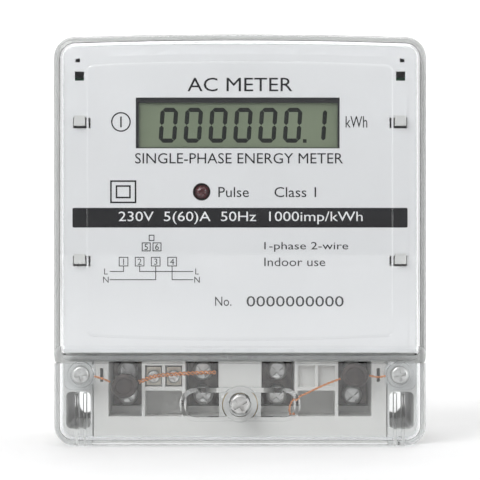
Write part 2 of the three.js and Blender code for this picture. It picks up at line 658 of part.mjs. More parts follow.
piece("sense_wire_red", wire([
  [-29, 16.2, -29.6], [-30, 20, -26], [-29.5, 26, -19.5], [-29, 32.1, -17],
], 0.6, 12), redInsulation);
piece("sense_wire_black", wire([
  [-18, 16.2, -29.6], [-18.5, 20, -26], [-20, 26, -19.5], [-21, 32.1, -17],
], 0.6, 12), blackInsulation);
piece("neutral_wire", wire([
  [24, 16.2, -30.4], [25, 21, -26], [26.5, 27, -20.5], [27, 32.1, -18],
], 0.75, 12), blueInsulation);
PULSE_X.forEach((x, i) => {
  piece(`pulse_wire_${i + 5}`, wire([
    [x, 32.4, -38.8], [x, 32.2, -36.6], [x, 31, -34], [x, 30.6, -31], [x + 0.4, 32.1, -28.4],
  ], 0.5, 14), whiteInsulation);
});

export default meter;
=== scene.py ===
# %% [markdown]
# # An electricity meter in clear and grey plastic
# This meter is a grey box that hangs on a wall. A clear cover is sealed over its nameplate and
# display, and a second clear cover lifts off the terminals below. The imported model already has
# every piece at its right size and place, so the script only models finer surfaces over some of
# them and gives every piece its finish. It is laid out as a lesson: each step first says what the
# piece is and why it is made in that way.

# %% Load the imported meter
import json
import math

import bmesh
import bpy
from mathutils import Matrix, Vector

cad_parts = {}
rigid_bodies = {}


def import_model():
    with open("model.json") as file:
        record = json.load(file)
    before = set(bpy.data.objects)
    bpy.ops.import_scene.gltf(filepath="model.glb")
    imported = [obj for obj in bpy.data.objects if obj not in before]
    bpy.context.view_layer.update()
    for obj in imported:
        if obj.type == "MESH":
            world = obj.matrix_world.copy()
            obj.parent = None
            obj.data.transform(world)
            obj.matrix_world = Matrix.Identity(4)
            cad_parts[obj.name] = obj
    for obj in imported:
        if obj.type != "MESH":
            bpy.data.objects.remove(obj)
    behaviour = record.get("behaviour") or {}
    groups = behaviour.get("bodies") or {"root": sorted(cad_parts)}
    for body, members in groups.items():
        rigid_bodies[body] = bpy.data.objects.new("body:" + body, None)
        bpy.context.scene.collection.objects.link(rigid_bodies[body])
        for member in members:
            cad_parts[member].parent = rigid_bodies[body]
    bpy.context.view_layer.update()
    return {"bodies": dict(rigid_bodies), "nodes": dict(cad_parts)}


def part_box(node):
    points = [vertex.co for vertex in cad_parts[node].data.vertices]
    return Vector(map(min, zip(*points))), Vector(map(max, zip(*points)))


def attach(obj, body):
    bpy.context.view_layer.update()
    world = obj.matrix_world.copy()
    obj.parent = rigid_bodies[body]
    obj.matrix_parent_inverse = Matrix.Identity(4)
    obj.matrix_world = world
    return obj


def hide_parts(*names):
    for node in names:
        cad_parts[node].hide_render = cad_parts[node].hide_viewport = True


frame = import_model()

NODES = frame["nodes"]
MM = 0.001
print("pieces in the frame:", len(NODES))

# %% [markdown]
# ## Where things are
# The wall is the plane y = 0 and the front faces -Y, so a depth is counted from the wall towards
# the reader, as a meter maker would measure it. `at` turns millimetres of width, depth and height
# into a point of the scene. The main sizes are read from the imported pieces, so that the new
# surfaces can't drift away from them.

# %% Depths and main sizes
def at(x, depth, z):
    return Vector((x, -depth, z)) * MM


def extent(node):
    """Lowest and highest x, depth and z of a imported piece, in millimetres."""
    low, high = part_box(node)
    return low.x / MM, high.x / MM, -high.y / MM, -low.y / MM, low.z / MM, high.z / MM


_, HALF, _, PANEL_FRONT, _, TOP = extent("main_cover")
_, _, COVER_BACK, LID_FRONT, BOTTOM, LID_HIGH = extent("terminal_cover")
_, PLATE_HALF, _, PLATE_FRONT, PLATE_LOW, PLATE_HIGH = extent("nameplate")
_, _, _, GLASS_FRONT, GLASS_LOW, GLASS_HIGH = extent("display_glass")
COVER_GAP = 0.3
PANEL_RISE = 1
COVER_LOW = LID_HIGH + COVER_GAP
COVER_FRONT = PANEL_FRONT - PANEL_RISE
CORNER = 6
BOW = 1
SIDES = (-1, 1)
print("case half width", round(HALF, 2), "top", round(TOP, 2), "front", round(PANEL_FRONT, 2))

# %% [markdown]
# ## Working by hand, in code
# Everything below is shaped with the same tools as in the viewport: add a primitive, pick edges
# or faces, bevel, extrude, cut. An operator works on whatever is selected, so each helper first
# clears the selection and picks its piece, and edges are picked by where they lie.

# %% Selecting and settling
def edit_mode():
    bpy.ops.object.mode_set(mode="EDIT")


def object_mode():
    bpy.ops.object.mode_set(mode="OBJECT")


def deselect():
    if bpy.context.mode != "OBJECT":
        object_mode()
    bpy.ops.object.select_all(action="DESELECT")


def only(obj):
    deselect()
    obj.select_set(True)
    bpy.context.view_layer.objects.active = obj


def edit_all(obj):
    """Opens the piece in edit mode with all of it selected."""
    only(obj)
    edit_mode()
    bpy.ops.mesh.select_all(action="SELECT")


def settle(obj, name=None):
    """Moves the piece's place and turn into its mesh."""
    only(obj)
    bpy.ops.object.transform_apply(location=True, rotation=True, scale=True)
    if name:
        obj.name = obj.data.name = name
    return obj


# %% Picking and rounding
NEAR = 1e-6


def pick(obj, kind, test):
    """Opens the piece in edit mode with the points, edges or faces selected that pass the test."""
    only(obj)
    edit_mode()
    bpy.ops.mesh.select_mode(type=kind)
    bpy.ops.mesh.select_all(action="DESELECT")
    object_mode()
    points = [v.co.copy() for v in obj.data.vertices]
    parts = {"VERT": obj.data.vertices, "EDGE": obj.data.edges, "FACE": obj.data.polygons}[kind]
    for part in parts:
        part.select = test([part.co] if kind == "VERT" else [points[i] for i in part.vertices])
    edit_mode()


def round_edges(obj, radius, steps, test):
    pick(obj, "EDGE", test)
    bpy.ops.mesh.bevel(
        offset=radius * MM, segments=steps, profile=0.5, affect="EDGES", clamp_overlap=True,
    )
    object_mode()


def runs_deep(ends):
    """True for an edge that runs from front to back."""
    a, b = ends
    return abs(a.x - b.x) < NEAR and abs(a.z - b.z) < NEAR and abs(a.y - b.y) > NEAR


def at_depth(ends, depth):
    return all(abs(p.y + depth * MM) < NEAR for p in ends)


# %% Slicing
def slice_along(obj, place, across):
    """Adds edges where a plane passes through the piece."""
    edit_all(obj)
    bpy.ops.mesh.bisect(plane_co=place, plane_no=across, threshold=NEAR / 10)
    object_mode()


def slice_off(obj, place, across):
    """Takes away what lies beyond a plane and closes the cut."""
    edit_all(obj)
    bpy.ops.mesh.bisect(plane_co=place, plane_no=across, use_fill=True, clear_outer=True)
    object_mode()


# %% Starting shapes
def block(name, x, depth, z):
    """A box between two values of x, of depth and of z."""
    low, high = at(x[0], depth[1], z[0]), at(x[1], depth[0], z[1])
    deselect()
    bpy.ops.mesh.primitive_cube_add(size=1, location=(low + high) / 2, scale=high - low)
    return settle(bpy.context.object, name)


def rod(name, start, end, radius, sides=32):
    """A cylinder between two points given as (x, depth, z)."""
    a, b = at(*start), at(*end)
    deselect()
    bpy.ops.mesh.primitive_cylinder_add(
        vertices=sides, radius=radius * MM, depth=(b - a).length, location=(a + b) / 2,
        rotation=(b - a).to_track_quat("Z", "Y").to_euler(),
    )
    return settle(bpy.context.object, name)


def turned(name, x, z, profile, sides=32):
    """A turned piece facing the front, from (radius, depth) pairs, the first end first."""
    radius, depth = profile[0]
    deselect()
    bpy.ops.mesh.primitive_circle_add(
        vertices=sides, radius=radius * MM, fill_type="NGON", location=at(x, depth, z),
        rotation=(math.pi / 2, 0, 0),
    )
    obj = settle(bpy.context.object, name)
    edit_mode()
    bpy.ops.mesh.select_mode(type="FACE")
    bpy.ops.mesh.select_all(action="SELECT")
    for (r0, d0), (r1, d1) in zip(profile, profile[1:]):
        bpy.ops.mesh.extrude_region_move(TRANSFORM_OT_translate={"value": (0, (d0 - d1) * MM, 0)})
        bpy.ops.transform.resize(value=(r1 / r0, 1, r1 / r0), center_override=at(x, d1, z))
    bpy.ops.mesh.select_all(action="SELECT")
    bpy.ops.mesh.normals_make_consistent(inside=False)
    object_mode()
    return obj


# %% Joining and cutting
def combine(obj, tools, operation):
    for tool in tools:
        only(obj)
        bpy.ops.object.modifier_add(type="BOOLEAN")
        modifier = obj.modifiers[-1]
        modifier.operation = operation
        modifier.solver = "EXACT"
        modifier.object = tool
        bpy.ops.object.modifier_apply(modifier=modifier.name)
        bpy.data.objects.remove(tool)
    return obj


def cut(obj, *tools):
    return combine(obj, tools, "DIFFERENCE")


def weld(obj, *tools):
    return combine(obj, tools, "UNION")


# %% Copying, merging and measuring
def copy_of(obj, name, x=0, depth=0, z=0):
    """A copy with its own mesh, moved by so many millimetres."""
    only(obj)
    bpy.ops.object.duplicate(linked=False)
    bpy.context.object.location += at(x, depth, z)
    return settle(bpy.context.object, name)


def merge(name, pieces):
    """Makes several loose meshes one piece."""
    deselect()
    for piece in pieces:
        piece.select_set(True)
    bpy.context.view_layer.objects.active = pieces[0]
    bpy.ops.object.join()
    return settle(bpy.context.object, name)


def volume_of(obj):
    """Volume in cubic centimetres, which is only right while the surface is closed."""
    work = bmesh.new()
    work.from_mesh(obj.data)
    volume, loose = work.calc_volume(), sum(not e.is_manifold for e in work.edges)
    work.free()
    return round(volume * 1e6, 3), loose


# %% [markdown]
# A moulded edge is never razor sharp: it has a radius of a tenth of a millimetre or more, and that
# thin line catches the light. `complete` gives a piece this soft edge with a Bevel modifier, makes
# its curves smooth while its flats stay flat, parents it to the moving body that carries it, and
# hides the imported pieces it stands for.

# %% Finishing a piece
def soften(obj, width, steps=2, angle=32):
    only(obj)
    bpy.ops.object.modifier_add(type="BEVEL")
    bevel = obj.modifiers[-1]
    bevel.width = width * MM
    bevel.segments = steps
    bevel.limit_method = "ANGLE"
    bevel.angle_limit = math.radians(angle)
    bevel.miter_outer = "MITER_ARC"
    bpy.ops.object.modifier_apply(modifier=bevel.name)


def smooth(obj, angle=34):
    only(obj)
    bpy.ops.object.shade_smooth_by_angle(angle=math.radians(angle))
    bpy.ops.object.modifier_add(type="WEIGHTED_NORMAL")
    weighted = obj.modifiers[-1]
    weighted.keep_sharp = True
    bpy.ops.object.modifier_apply(modifier=weighted.name)


def complete(obj, body, material, stands_for=(), edge=0.15):
    if edge:
        soften(obj, edge)
    smooth(obj)
    obj.data.materials.clear()
    obj.data.materials.append(material)
    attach(obj, body)
    if stands_for:
        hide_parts(*stands_for)
    return obj


# %% [markdown]
# ## Shared surface effects
# Three effects come back in many finishes, so each is a node group. *Moulded skin* is the fine
# grain and the faint unevenness in tone of injection moulding. *Worked metal* is the streaking and
# tarnish of small metal parts. *Fine scuffs* is the light wear on a polished clear surface. They
# only put out colours, roughness and heights: each material keeps its own shader.

# %% Groups, links and noise
def link(tree, source, target):
    tree.links.new(source, target)


def set_or_link(tree, value, socket):
    """Gives a socket a plain number, or another node's output."""
    if isinstance(value, (int, float)):
        socket.default_value = value
    else:
        link(tree, value, socket)


def new_group(name, inputs, outputs):
    group = bpy.data.node_groups.new(name, "ShaderNodeTree")
    for label, kind, value in inputs:
        socket = group.interface.new_socket(name=label, in_out="INPUT", socket_type=kind)
        if value is not None:
            socket.default_value = value
    for label, kind in outputs:
        group.interface.new_socket(name=label, in_out="OUTPUT", socket_type=kind)
    return group, group.nodes.new("NodeGroupInput"), group.nodes.new("NodeGroupOutput")


def noise(tree, vector, scale, detail=3, roughness=0.5):
    node = tree.nodes.new("ShaderNodeTexNoise")
    node.inputs["Detail"].default_value = detail
    node.inputs["Roughness"].default_value = roughness
    link(tree, vector, node.inputs["Vector"])
    set_or_link(tree, scale, node.inputs["Scale"])
    return node.outputs["Fac"]


# %% Numbers and colours
def remap(tree, value, low, high, to_low=0.0, to_high=1.0):
    node = tree.nodes.new("ShaderNodeMapRange")
    link(tree, value, node.inputs["Value"])
    ends = {"From Min": low, "From Max": high, "To Min": to_low, "To Max": to_high}
    for label, number in ends.items():
        node.inputs[label].default_value = number
    return node.outputs["Result"]


def blend_colours(tree, factor, first, second):
    node = tree.nodes.new("ShaderNodeMix")
    node.data_type = "RGBA"
    link(tree, factor, node.inputs["Factor"])
    for label, colour in (("A", first), ("B", second)):
        socket = [s for s in node.inputs if s.name == label and s.type == "RGBA"][0]
        if isinstance(colour, (tuple, list)):
            socket.default_value = (*colour[:3], 1)
        else:
            link(tree, colour, socket)
    return [s for s in node.outputs if s.type == "RGBA"][0]


def calculate(tree, operation, first, second):
    node = tree.nodes.new("ShaderNodeMath")
    node.operation = operation
    for socket, value in zip(node.inputs, (first, second)):
        set_or_link(tree, value, socket)
    return node.outputs["Value"]


# %% Moulded skin
COLOUR, VALUE, PLACE = "NodeSocketColor", "NodeSocketFloat", "NodeSocketVector"
SURFACE = [("Colour", COLOUR), ("Roughness", VALUE), ("Height", VALUE)]


def moulded_skin():
    group, given, out = new_group("Moulded skin", [
        ("Place", PLACE, None), ("Colour", COLOUR, (0.8, 0.8, 0.8, 1)),
        ("Shade", COLOUR, (0.7, 0.7, 0.7, 1)), ("Roughness", VALUE, 0.5),
        ("Grain", VALUE, 3000.0),
    ], SURFACE)
    place = given.outputs["Place"]
    clouds = noise(group, place, 28.0, detail=4)
    grain = noise(group, place, given.outputs["Grain"], detail=2)
    tone = remap(group, clouds, 0.3, 0.7)
    colour = blend_colours(group, tone, given.outputs["Colour"], given.outputs["Shade"])
    spread = calculate(group, "MULTIPLY", calculate(group, "SUBTRACT", grain, 0.5), 0.16)
    roughness = calculate(group, "ADD", given.outputs["Roughness"], spread)
    link(group, colour, out.inputs["Colour"])
    link(group, roughness, out.inputs["Roughness"])
    link(group, grain, out.inputs["Height"])
    return group


MOULDED_SKIN = moulded_skin()


# %% Worked metal
def worked_metal():
    group, given, out = new_group("Worked metal", [
        ("Place", PLACE, None), ("Colour", COLOUR, (0.8, 0.8, 0.8, 1)),
        ("Tarnish", COLOUR, (0.4, 0.4, 0.4, 1)), ("Tarnish Amount", VALUE, 0.4),
        ("Roughness", VALUE, 0.3),
    ], SURFACE)
    place = given.outputs["Place"]
    stretch = group.nodes.new("ShaderNodeMapping")
    stretch.inputs["Scale"].default_value = (1, 1, 9)
    link(group, place, stretch.inputs["Vector"])
    streaks = noise(group, stretch.outputs["Vector"], 700.0, detail=4, roughness=0.65)
    spots = noise(group, place, 420.0, detail=5, roughness=0.6)
    spotted = remap(group, spots, 0.35, 0.7)
    dull = calculate(group, "MULTIPLY", spotted, given.outputs["Tarnish Amount"])
    colour = blend_colours(group, dull, given.outputs["Colour"], given.outputs["Tarnish"])
    worn = calculate(group, "ADD", calculate(group, "MULTIPLY", dull, 0.35),
                     calculate(group, "MULTIPLY", streaks, 0.14))
    roughness = calculate(group, "ADD", given.outputs["Roughness"], worn)
    link(group, colour, out.inputs["Colour"])
    link(group, roughness, out.inputs["Roughness"])
    link(group, streaks, out.inputs["Height"])
    return group


WORKED_METAL = worked_metal()


# %% Fine scuffs
def fine_scuffs():
    group, given, out = new_group("Fine scuffs", [
        ("Place", PLACE, None), ("Roughness", VALUE, 0.03), ("Haze", VALUE, 0.05),
    ], [("Roughness", VALUE), ("Height", VALUE)])
    place = given.outputs["Place"]
    patches = remap(group, noise(group, place, 60.0, detail=3), 0.5, 0.8)
    hairs = noise(group, place, 1500.0, detail=2)
    scuffed = calculate(group, "MULTIPLY", patches, hairs)
    haze = calculate(group, "MULTIPLY", scuffed, given.outputs["Haze"])
    roughness = calculate(group, "ADD", given.outputs["Roughness"], haze)
    link(group, roughness, out.inputs["Roughness"])
    link(group, noise(group, place, 90.0, detail=1), out.inputs["Height"])
    return group


FINE_SCUFFS = fine_scuffs()
print("effects:", [g.name for g in bpy.data.node_groups])

# %% [markdown]
# ## Finishes
# Each finish is a Principled shader fed by one of the groups. Patterns read Object coordinates, so
# they stay fixed to a piece when it moves. A moulded plastic has two close tones and a grain of
# about a third of a millimetre; the bump is kept to hundredths of a millimetre, as on the real
# tool-eroded surface.

# %% Building a material
def start_material(name):
    material = bpy.data.materials.new(name)
    material.use_nodes = True
    tree = material.node_tree
    shader = next(n for n in tree.nodes if n.type == "BSDF_PRINCIPLED")
    place = tree.nodes.new("ShaderNodeTexCoord").outputs["Object"]
    return material, tree, shader, place


def set_inputs(node, values):
    for label, value in values.items():
        node.inputs[label].default_value = value


def place_group(tree, group, place, values):
    node = tree.nodes.new("ShaderNodeGroup")
    node.node_tree = group
    link(tree, place, node.inputs["Place"])
    set_inputs(node, values)
    return node


# %% Feeding the shader
def add_bump(tree, shader, height, distance, strength=0.5):
    bump = tree.nodes.new("ShaderNodeBump")
    set_inputs(bump, {"Distance": distance * MM, "Strength": strength})
    link(tree, height, bump.inputs["Height"])
    link(tree, bump.outputs["Normal"], shader.inputs["Normal"])


def feed(tree, surface, shader, bump=0):
    """Gives the shader a group's colour and roughness, and its height as a bump."""
    link(tree, surface.outputs["Colour"], shader.inputs["Base Color"])
    link(tree, surface.outputs["Roughness"], shader.inputs["Roughness"])
    if bump:
        add_bump(tree, shader, surface.outputs["Height"], bump)


def let_through(tree, shader, factor, tint=(1, 1, 1)):
    """Light passes straight through the surface wherever the factor is one."""
    clear = tree.nodes.new("ShaderNodeBsdfTransparent")
    clear.inputs["Color"].default_value = (*tint, 1)
    mix = tree.nodes.new("ShaderNodeMixShader")
    output = next(n for n in tree.nodes if n.type == "OUTPUT_MATERIAL")
    link(tree, factor, mix.inputs["Fac"])
    link(tree, shader.outputs["BSDF"], mix.inputs[1])
    link(tree, clear.outputs["BSDF"], mix.inputs[2])
    link(tree, mix.outputs["Shader"], output.inputs["Surface"])


# %% Plastic and metal
def moulded(name, colour, shade, roughness, grain=3000.0, bump=0.03, specular=0.5):
    material, tree, shader, place = start_material(name)
    shader.inputs["Specular IOR Level"].default_value = specular
    skin = place_group(tree, MOULDED_SKIN, place, {
        "Colour": (*colour, 1), "Shade": (*shade, 1), "Roughness": roughness, "Grain": grain,
    })
    feed(tree, skin, shader, bump)
    return material


def metal(name, colour, tarnish, amount, roughness, bump=0.01):
    material, tree, shader, place = start_material(name)
    shader.inputs["Metallic"].default_value = 1
    worked = place_group(tree, WORKED_METAL, place, {
        "Colour": (*colour, 1), "Tarnish": (*tarnish, 1), "Tarnish Amount": amount,
        "Roughness": roughness,
    })
    feed(tree, worked, shader, bump)
    return material


# %% Finishes of the mouldings, wires and print
GREY_PLASTIC = moulded("Grey moulding", (0.63, 0.63, 0.615), (0.59, 0.59, 0.575), 0.5)
BLOCK_PLASTIC = moulded("Terminal block moulding", (0.66, 0.655, 0.63), (0.61, 0.605, 0.585), 0.55)
# The display frame's black is partly its own dark plastic and partly painted shade: the shadow in
# the gap between the plate and the display.
BEZEL_BLACK_AND_PAINTED_SHADE = moulded("Black bezel and painted shade", (0.012, 0.012, 0.013), (0.02, 0.02, 0.02), 0.45)
CHIP_EPOXY = moulded("Chip epoxy", (0.016, 0.016, 0.018), (0.03, 0.03, 0.03), 0.6, 6000.0)
RUBBER = moulded("Contact rubber", (0.3, 0.3, 0.3), (0.22, 0.22, 0.22), 0.8, 4000.0)
YELLOW_CASE = moulded("Capacitor case", (0.6, 0.36, 0.02), (0.52, 0.3, 0.02), 0.4, 1500.0)
BLUE_SLEEVE = moulded("Capacitor sleeve", (0.01, 0.02, 0.07), (0.015, 0.03, 0.09), 0.3, 500.0)
BLUE_DIP = moulded("Varistor dip", (0.01, 0.09, 0.33), (0.02, 0.12, 0.38), 0.35, 700.0, 0.08)
CEMENT = moulded("Resistor cement", (0.52, 0.42, 0.22), (0.42, 0.33, 0.18), 0.75, 1800.0, 0.06)
RED_WIRE = moulded("Red insulation", (0.35, 0.01, 0.01), (0.28, 0.01, 0.01), 0.4, 1200.0)
BLACK_WIRE = moulded("Black insulation", (0.01, 0.01, 0.01), (0.02, 0.02, 0.02), 0.4, 1200.0)
BLUE_WIRE = moulded("Blue insulation", (0.01, 0.06, 0.3), (0.01, 0.05, 0.25), 0.4, 1200.0)
WHITE_WIRE = moulded("White insulation", (0.7, 0.7, 0.66), (0.62, 0.62, 0.58), 0.4, 1200.0)
INK = moulded("Black ink", (0.008, 0.008, 0.009), (0.013, 0.013, 0.014), 0.6, 5000.0, 0.004, 0.15)
WHITE_INK = moulded("White ink", (0.82, 0.82, 0.82), (0.76, 0.76, 0.76), 0.5, 5000.0, 0.004)
DIGIT_INK = moulded(
    "Display digits", (0.008, 0.01, 0.008), (0.014, 0.016, 0.013), 0.6, 5000.0, 0.002, 0.15)
print("finishes with the plastics and inks:", len(bpy.data.materials))

# %% Finishes of the metal pieces
ZINC = metal("Zinc-plated steel", (0.72, 0.72, 0.71), (0.36, 0.35, 0.33), 0.5, 0.2)
NICKELLED_BRASS = metal("Nickelled brass", (0.15, 0.13, 0.115), (0.045, 0.035, 0.03), 0.85, 0.34)
BRASS = metal("Turned brass", (0.66, 0.5, 0.24), (0.38, 0.26, 0.12), 0.4, 0.25)
TINNED_BRASS = metal("Tinned brass", (0.68, 0.64, 0.56), (0.4, 0.35, 0.27), 0.4, 0.25)
COPPER = metal("Bare copper", (0.72, 0.3, 0.11), (0.32, 0.11, 0.05), 0.4, 0.28)
MANGANIN = metal("Manganin", (0.42, 0.3, 0.22), (0.2, 0.14, 0.1), 0.5, 0.4)
LEAD = metal("Pressed lead", (0.075, 0.06, 0.055), (0.025, 0.02, 0.018), 0.9, 0.42, 0.06)
TINNED_STEEL = metal("Tinned can", (0.7, 0.71, 0.72), (0.4, 0.4, 0.4), 0.4, 0.25)
print("finishes with the metals:", len(bpy.data.materials))

# %% [markdown]
# ### Clear covers
# Both covers are polished polycarbonate. The shader is plain glass with polycarbonate's index of
# refraction. Its mirror reflection is turned down to half, or the bright floor would lie like a
# veil over the terminals. Light must reach the nameplate through it, and a ray traced lamp can't
# find its way through refraction quickly, so for shadow rays alone it is a slightly grey filter.

# %% Clear polycarbonate
def clear_polycarbonate(name, tint, filter_colour):
    material, tree, shader, place = start_material(name)
    set_inputs(shader, {
        "Base Color": (*tint, 1), "Transmission Weight": 1, "IOR": 1.58, "Specular IOR Level": 0.25,
    })
    scuffs = place_group(tree, FINE_SCUFFS, place, {"Roughness": 0.015, "Haze": 0.08})
    link(tree, scuffs.outputs["Roughness"], shader.inputs["Roughness"])
    add_bump(tree, shader, scuffs.outputs["Height"], 0.02, 0.15)
    shadow = tree.nodes.new("ShaderNodeLightPath").outputs["Is Shadow Ray"]
    let_through(tree, shader, shadow, filter_colour)
    return material


CLEAR_COVER = clear_polycarbonate("Clear polycarbonate", (0.97, 0.98, 0.985), (0.96, 0.965, 0.97))

# %% [markdown]
# ### Printed plate, display and lamp
# The nameplate is a pale grey plastic sheet with a matt print surface. The display is a
# grey-green liquid crystal cell under a polariser, whose mirror-like backing has a very fine
# sparkle. The lamp's lens is a dark red under a thin clear coat, because its gloss is all that
# shows of it while it is off. The board is a brick pattern turned to lie on its face, whose
# joints are the gaps between the tracks.

# %% Plate and display film
PLATE_SHEET = moulded(
    "Plate sheet", (0.74, 0.74, 0.745), (0.715, 0.715, 0.72), 0.48, 4500.0, 0.008)
DISPLAY_FILM = moulded(
    "Display polariser", (0.165, 0.2, 0.13), (0.19, 0.225, 0.15), 0.3, 7000.0, 0.004)
DISPLAY_EDGE = moulded(
    "Display glass edge", (0.2, 0.25, 0.2), (0.16, 0.2, 0.16), 0.15, 3000.0, 0.002)


# %% Lamp lens and circuit board
def red_lens():
    material, tree, shader, place = start_material("Red lens")
    skin = place_group(tree, MOULDED_SKIN, place, {
        "Colour": (0.07, 0.004, 0.006, 1), "Shade": (0.04, 0.003, 0.004, 1),
        "Roughness": 0.12, "Grain": 900.0,
    })
    feed(tree, skin, shader)
    set_inputs(shader, {"Coat Weight": 0.6, "Coat Roughness": 0.05})
    return material


def circuit_board():
    """Green solder mask with the copper tracks showing beneath it."""
    material, tree, shader, place = start_material("Circuit board")
    turn = tree.nodes.new("ShaderNodeMapping")
    turn.inputs["Rotation"].default_value = (math.pi / 2, 0, 0)
    link(tree, place, turn.inputs["Vector"])
    bricks = tree.nodes.new("ShaderNodeTexBrick")
    set_inputs(bricks, {
        "Scale": 160.0, "Mortar Size": 0.06, "Brick Width": 1.6, "Row Height": 0.35,
        "Color1": (0.01, 0.13, 0.05, 1), "Color2": (0.012, 0.16, 0.06, 1),
        "Mortar": (0.006, 0.07, 0.028, 1),
    })
    link(tree, turn.outputs["Vector"], bricks.inputs["Vector"])
    link(tree, bricks.outputs["Color"], shader.inputs["Base Color"])
    gloss = remap(tree, noise(tree, place, 900.0), 0.0, 1.0, 0.25, 0.4)
    link(tree, gloss, shader.inputs["Roughness"])
    add_bump(tree, shader, bricks.outputs["Fac"], 0.03)
    return material


RED_LENS = red_lens()
CIRCUIT_BOARD = circuit_board()
print("all finishes:", len(bpy.data.materials))

# %% [markdown]
# ## Grey base and terminal block
# These two mouldings are full of wells, slots and bosses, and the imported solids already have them
# all. Starting again would only risk their places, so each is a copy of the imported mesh. Its loose
# triangles are merged and its edges softened. On the base the flat triangles are first dissolved
# into whole faces. The block keeps its triangles, because a whole face with so many holes folds
# over itself when it is bevelled. Its two spare cells are shallow: a web fills each almost to the
# front.

# %% Refined copies
def refined_copy(node, name, edge, whole_flats=True):
    source = NODES[node]
    obj = bpy.data.objects.new(name, source.data.copy())
    bpy.context.scene.collection.objects.link(obj)
    only(obj)
    edit_mode()
    bpy.ops.mesh.select_mode(type="VERT")
    bpy.ops.mesh.select_all(action="SELECT")
    bpy.ops.mesh.remove_doubles(threshold=0.002 * MM)
    if whole_flats:
        bpy.ops.mesh.dissolve_limited(angle_limit=math.radians(0.6))
    object_mode()
    soften(obj, edge)
    return obj


base = refined_copy("base_housing", "base_shell", 0.3)
complete(base, "case", GREY_PLASTIC, ["base_housing"], edge=0)
terminal_carrier = refined_copy("terminal_block", "terminal_carrier", 0.2, whole_flats=False)
SPARE_CELLS, CELL_HALF = (20.4, 26.6), 2.9
for x in SPARE_CELLS:
    web = block("web", (x - CELL_HALF, x + CELL_HALF), (30.8, 39.2), (-45.4, -38.3))
    weld(terminal_carrier, web)
complete(terminal_carrier, "case", BLOCK_PLASTIC, ["terminal_block"], edge=0)
print("base faces", len(base.data.polygons), "block faces", len(terminal_carrier.data.polygons))

# %% [markdown]
# ## Rounded slabs
# Seen from the front, both covers and their hollows are rectangles with rounded corners, and the
# top edge of the case bows up by a millimetre. Each is made from a box: its front-to-back edges are
# bevelled into corners, the rim of its front face is bevelled, and the bow is made by cutting the
# slab into columns and lifting each by its own amount.

# %% A rounded slab
def bow_edge(obj, edge_z, rise, half, reach, columns=12):
    """Lifts (or lowers, if rise is negative) an edge most in its middle and not at its ends."""
    for i in range(1, columns):
        slice_along(obj, (half * MM * (2 * i / columns - 1), 0, 0), (1, 0, 0))

    def near_edge(p):
        return (p.z > (edge_z - reach) * MM) if rise > 0 else (p.z < (edge_z + reach) * MM)

    places = sorted({round(v.co.x, 7) for v in obj.data.vertices if near_edge(v.co)})
    for x in places:
        lift = rise * MM * (1 - (x / (half * MM)) ** 2)
        if abs(lift) < NEAR:
            continue
        pick(obj, "VERT", lambda p, x=x: near_edge(p[0]) and abs(p[0].x - x) < 2e-7)
        bpy.ops.transform.translate(value=(0, 0, lift))
        object_mode()


def slab(name, half, z, depth, low_radius=0, high_radius=0, rim=0, bow=0, low_bow=0, steps=8):
    obj = block(name, (-half, half), depth, z)
    middle = (z[0] + z[1]) / 2 * MM
    if high_radius:
        round_edges(obj, high_radius, steps, lambda e: runs_deep(e) and e[0].z > middle)
    if low_radius:
        round_edges(obj, low_radius, steps, lambda e: runs_deep(e) and e[0].z < middle)
    if rim:
        round_edges(obj, rim, 6, lambda e: at_depth(e, depth[1]))
    if bow:
        bow_edge(obj, z[1], bow, half, high_radius + 0.1)
    if low_bow:
        bow_edge(obj, z[0], -low_bow, half, low_radius + 0.1)
    return obj


# %% [markdown]
# ### Marks on the back of the base
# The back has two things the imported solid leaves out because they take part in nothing: a shallow
# oval dish round each wall-screw hole, which keeps the screw's burr off the wall, and the small
# round mark where the plastic was fed into the mould. Both are shallow cuts into the back wall.

# %% Dishes and gate mark
WALL_SCREW_X, WALL_SCREW_Z = 49.7, -52.3
DISH_HALF_WIDTH, DISH_HALF_HEIGHT, DISH_DEPTH = 4.9, 5.6, 0.9
for side in SIDES:
    x = side * WALL_SCREW_X
    dish = block("dish", (x - DISH_HALF_WIDTH, x + DISH_HALF_WIDTH), (-1, DISH_DEPTH),
                 (WALL_SCREW_Z - DISH_HALF_HEIGHT, WALL_SCREW_Z + DISH_HALF_HEIGHT))
    round_edges(dish, 4.7, 12, runs_deep)
    round_edges(dish, 0.85, 5, lambda e: at_depth(e, DISH_DEPTH))
    cut(base, dish)
cut(base, rod("gate", (0, -1, 7), (0, 0.3, 7), 1.3))
smooth(base)
print("base: volume and open edges", volume_of(base))

# %% [markdown]
# ## Clear main cover
# The main cover is a shallow clear box. It has a raised panel over the nameplate, a wide slope
# where it meets the terminal cover, a tongue that drops inside the grey base, and two ears under
# the terminal cover that take the factory-sealed screws. The outside is one slab cut by a slope,
# the inside is a second slab taken away from it.

# %% Main cover
COVER_WALL = 2
SLOPE_HEIGHT = 5
SLOPE_DROP = 3
CROWN = TOP - BOW
SCREW_X, SCREW_Z = 48.6, -41.1


def sloped_outside():
    shell = slab("main_window", HALF, (COVER_LOW, CROWN), (COVER_BACK, COVER_FRONT), 0, CORNER)
    slice_off(shell, at(0, COVER_FRONT, COVER_LOW + SLOPE_HEIGHT), (0, -SLOPE_HEIGHT, -SLOPE_DROP))
    top_of_slope = (COVER_LOW + SLOPE_HEIGHT + 0.01) * MM

    def front_rim(ends):
        return at_depth(ends, COVER_FRONT) and any(p.z > top_of_slope for p in ends)

    round_edges(shell, 2.6, 7, front_rim)
    bow_edge(shell, CROWN, BOW, HALF, CORNER + 0.1)
    return shell


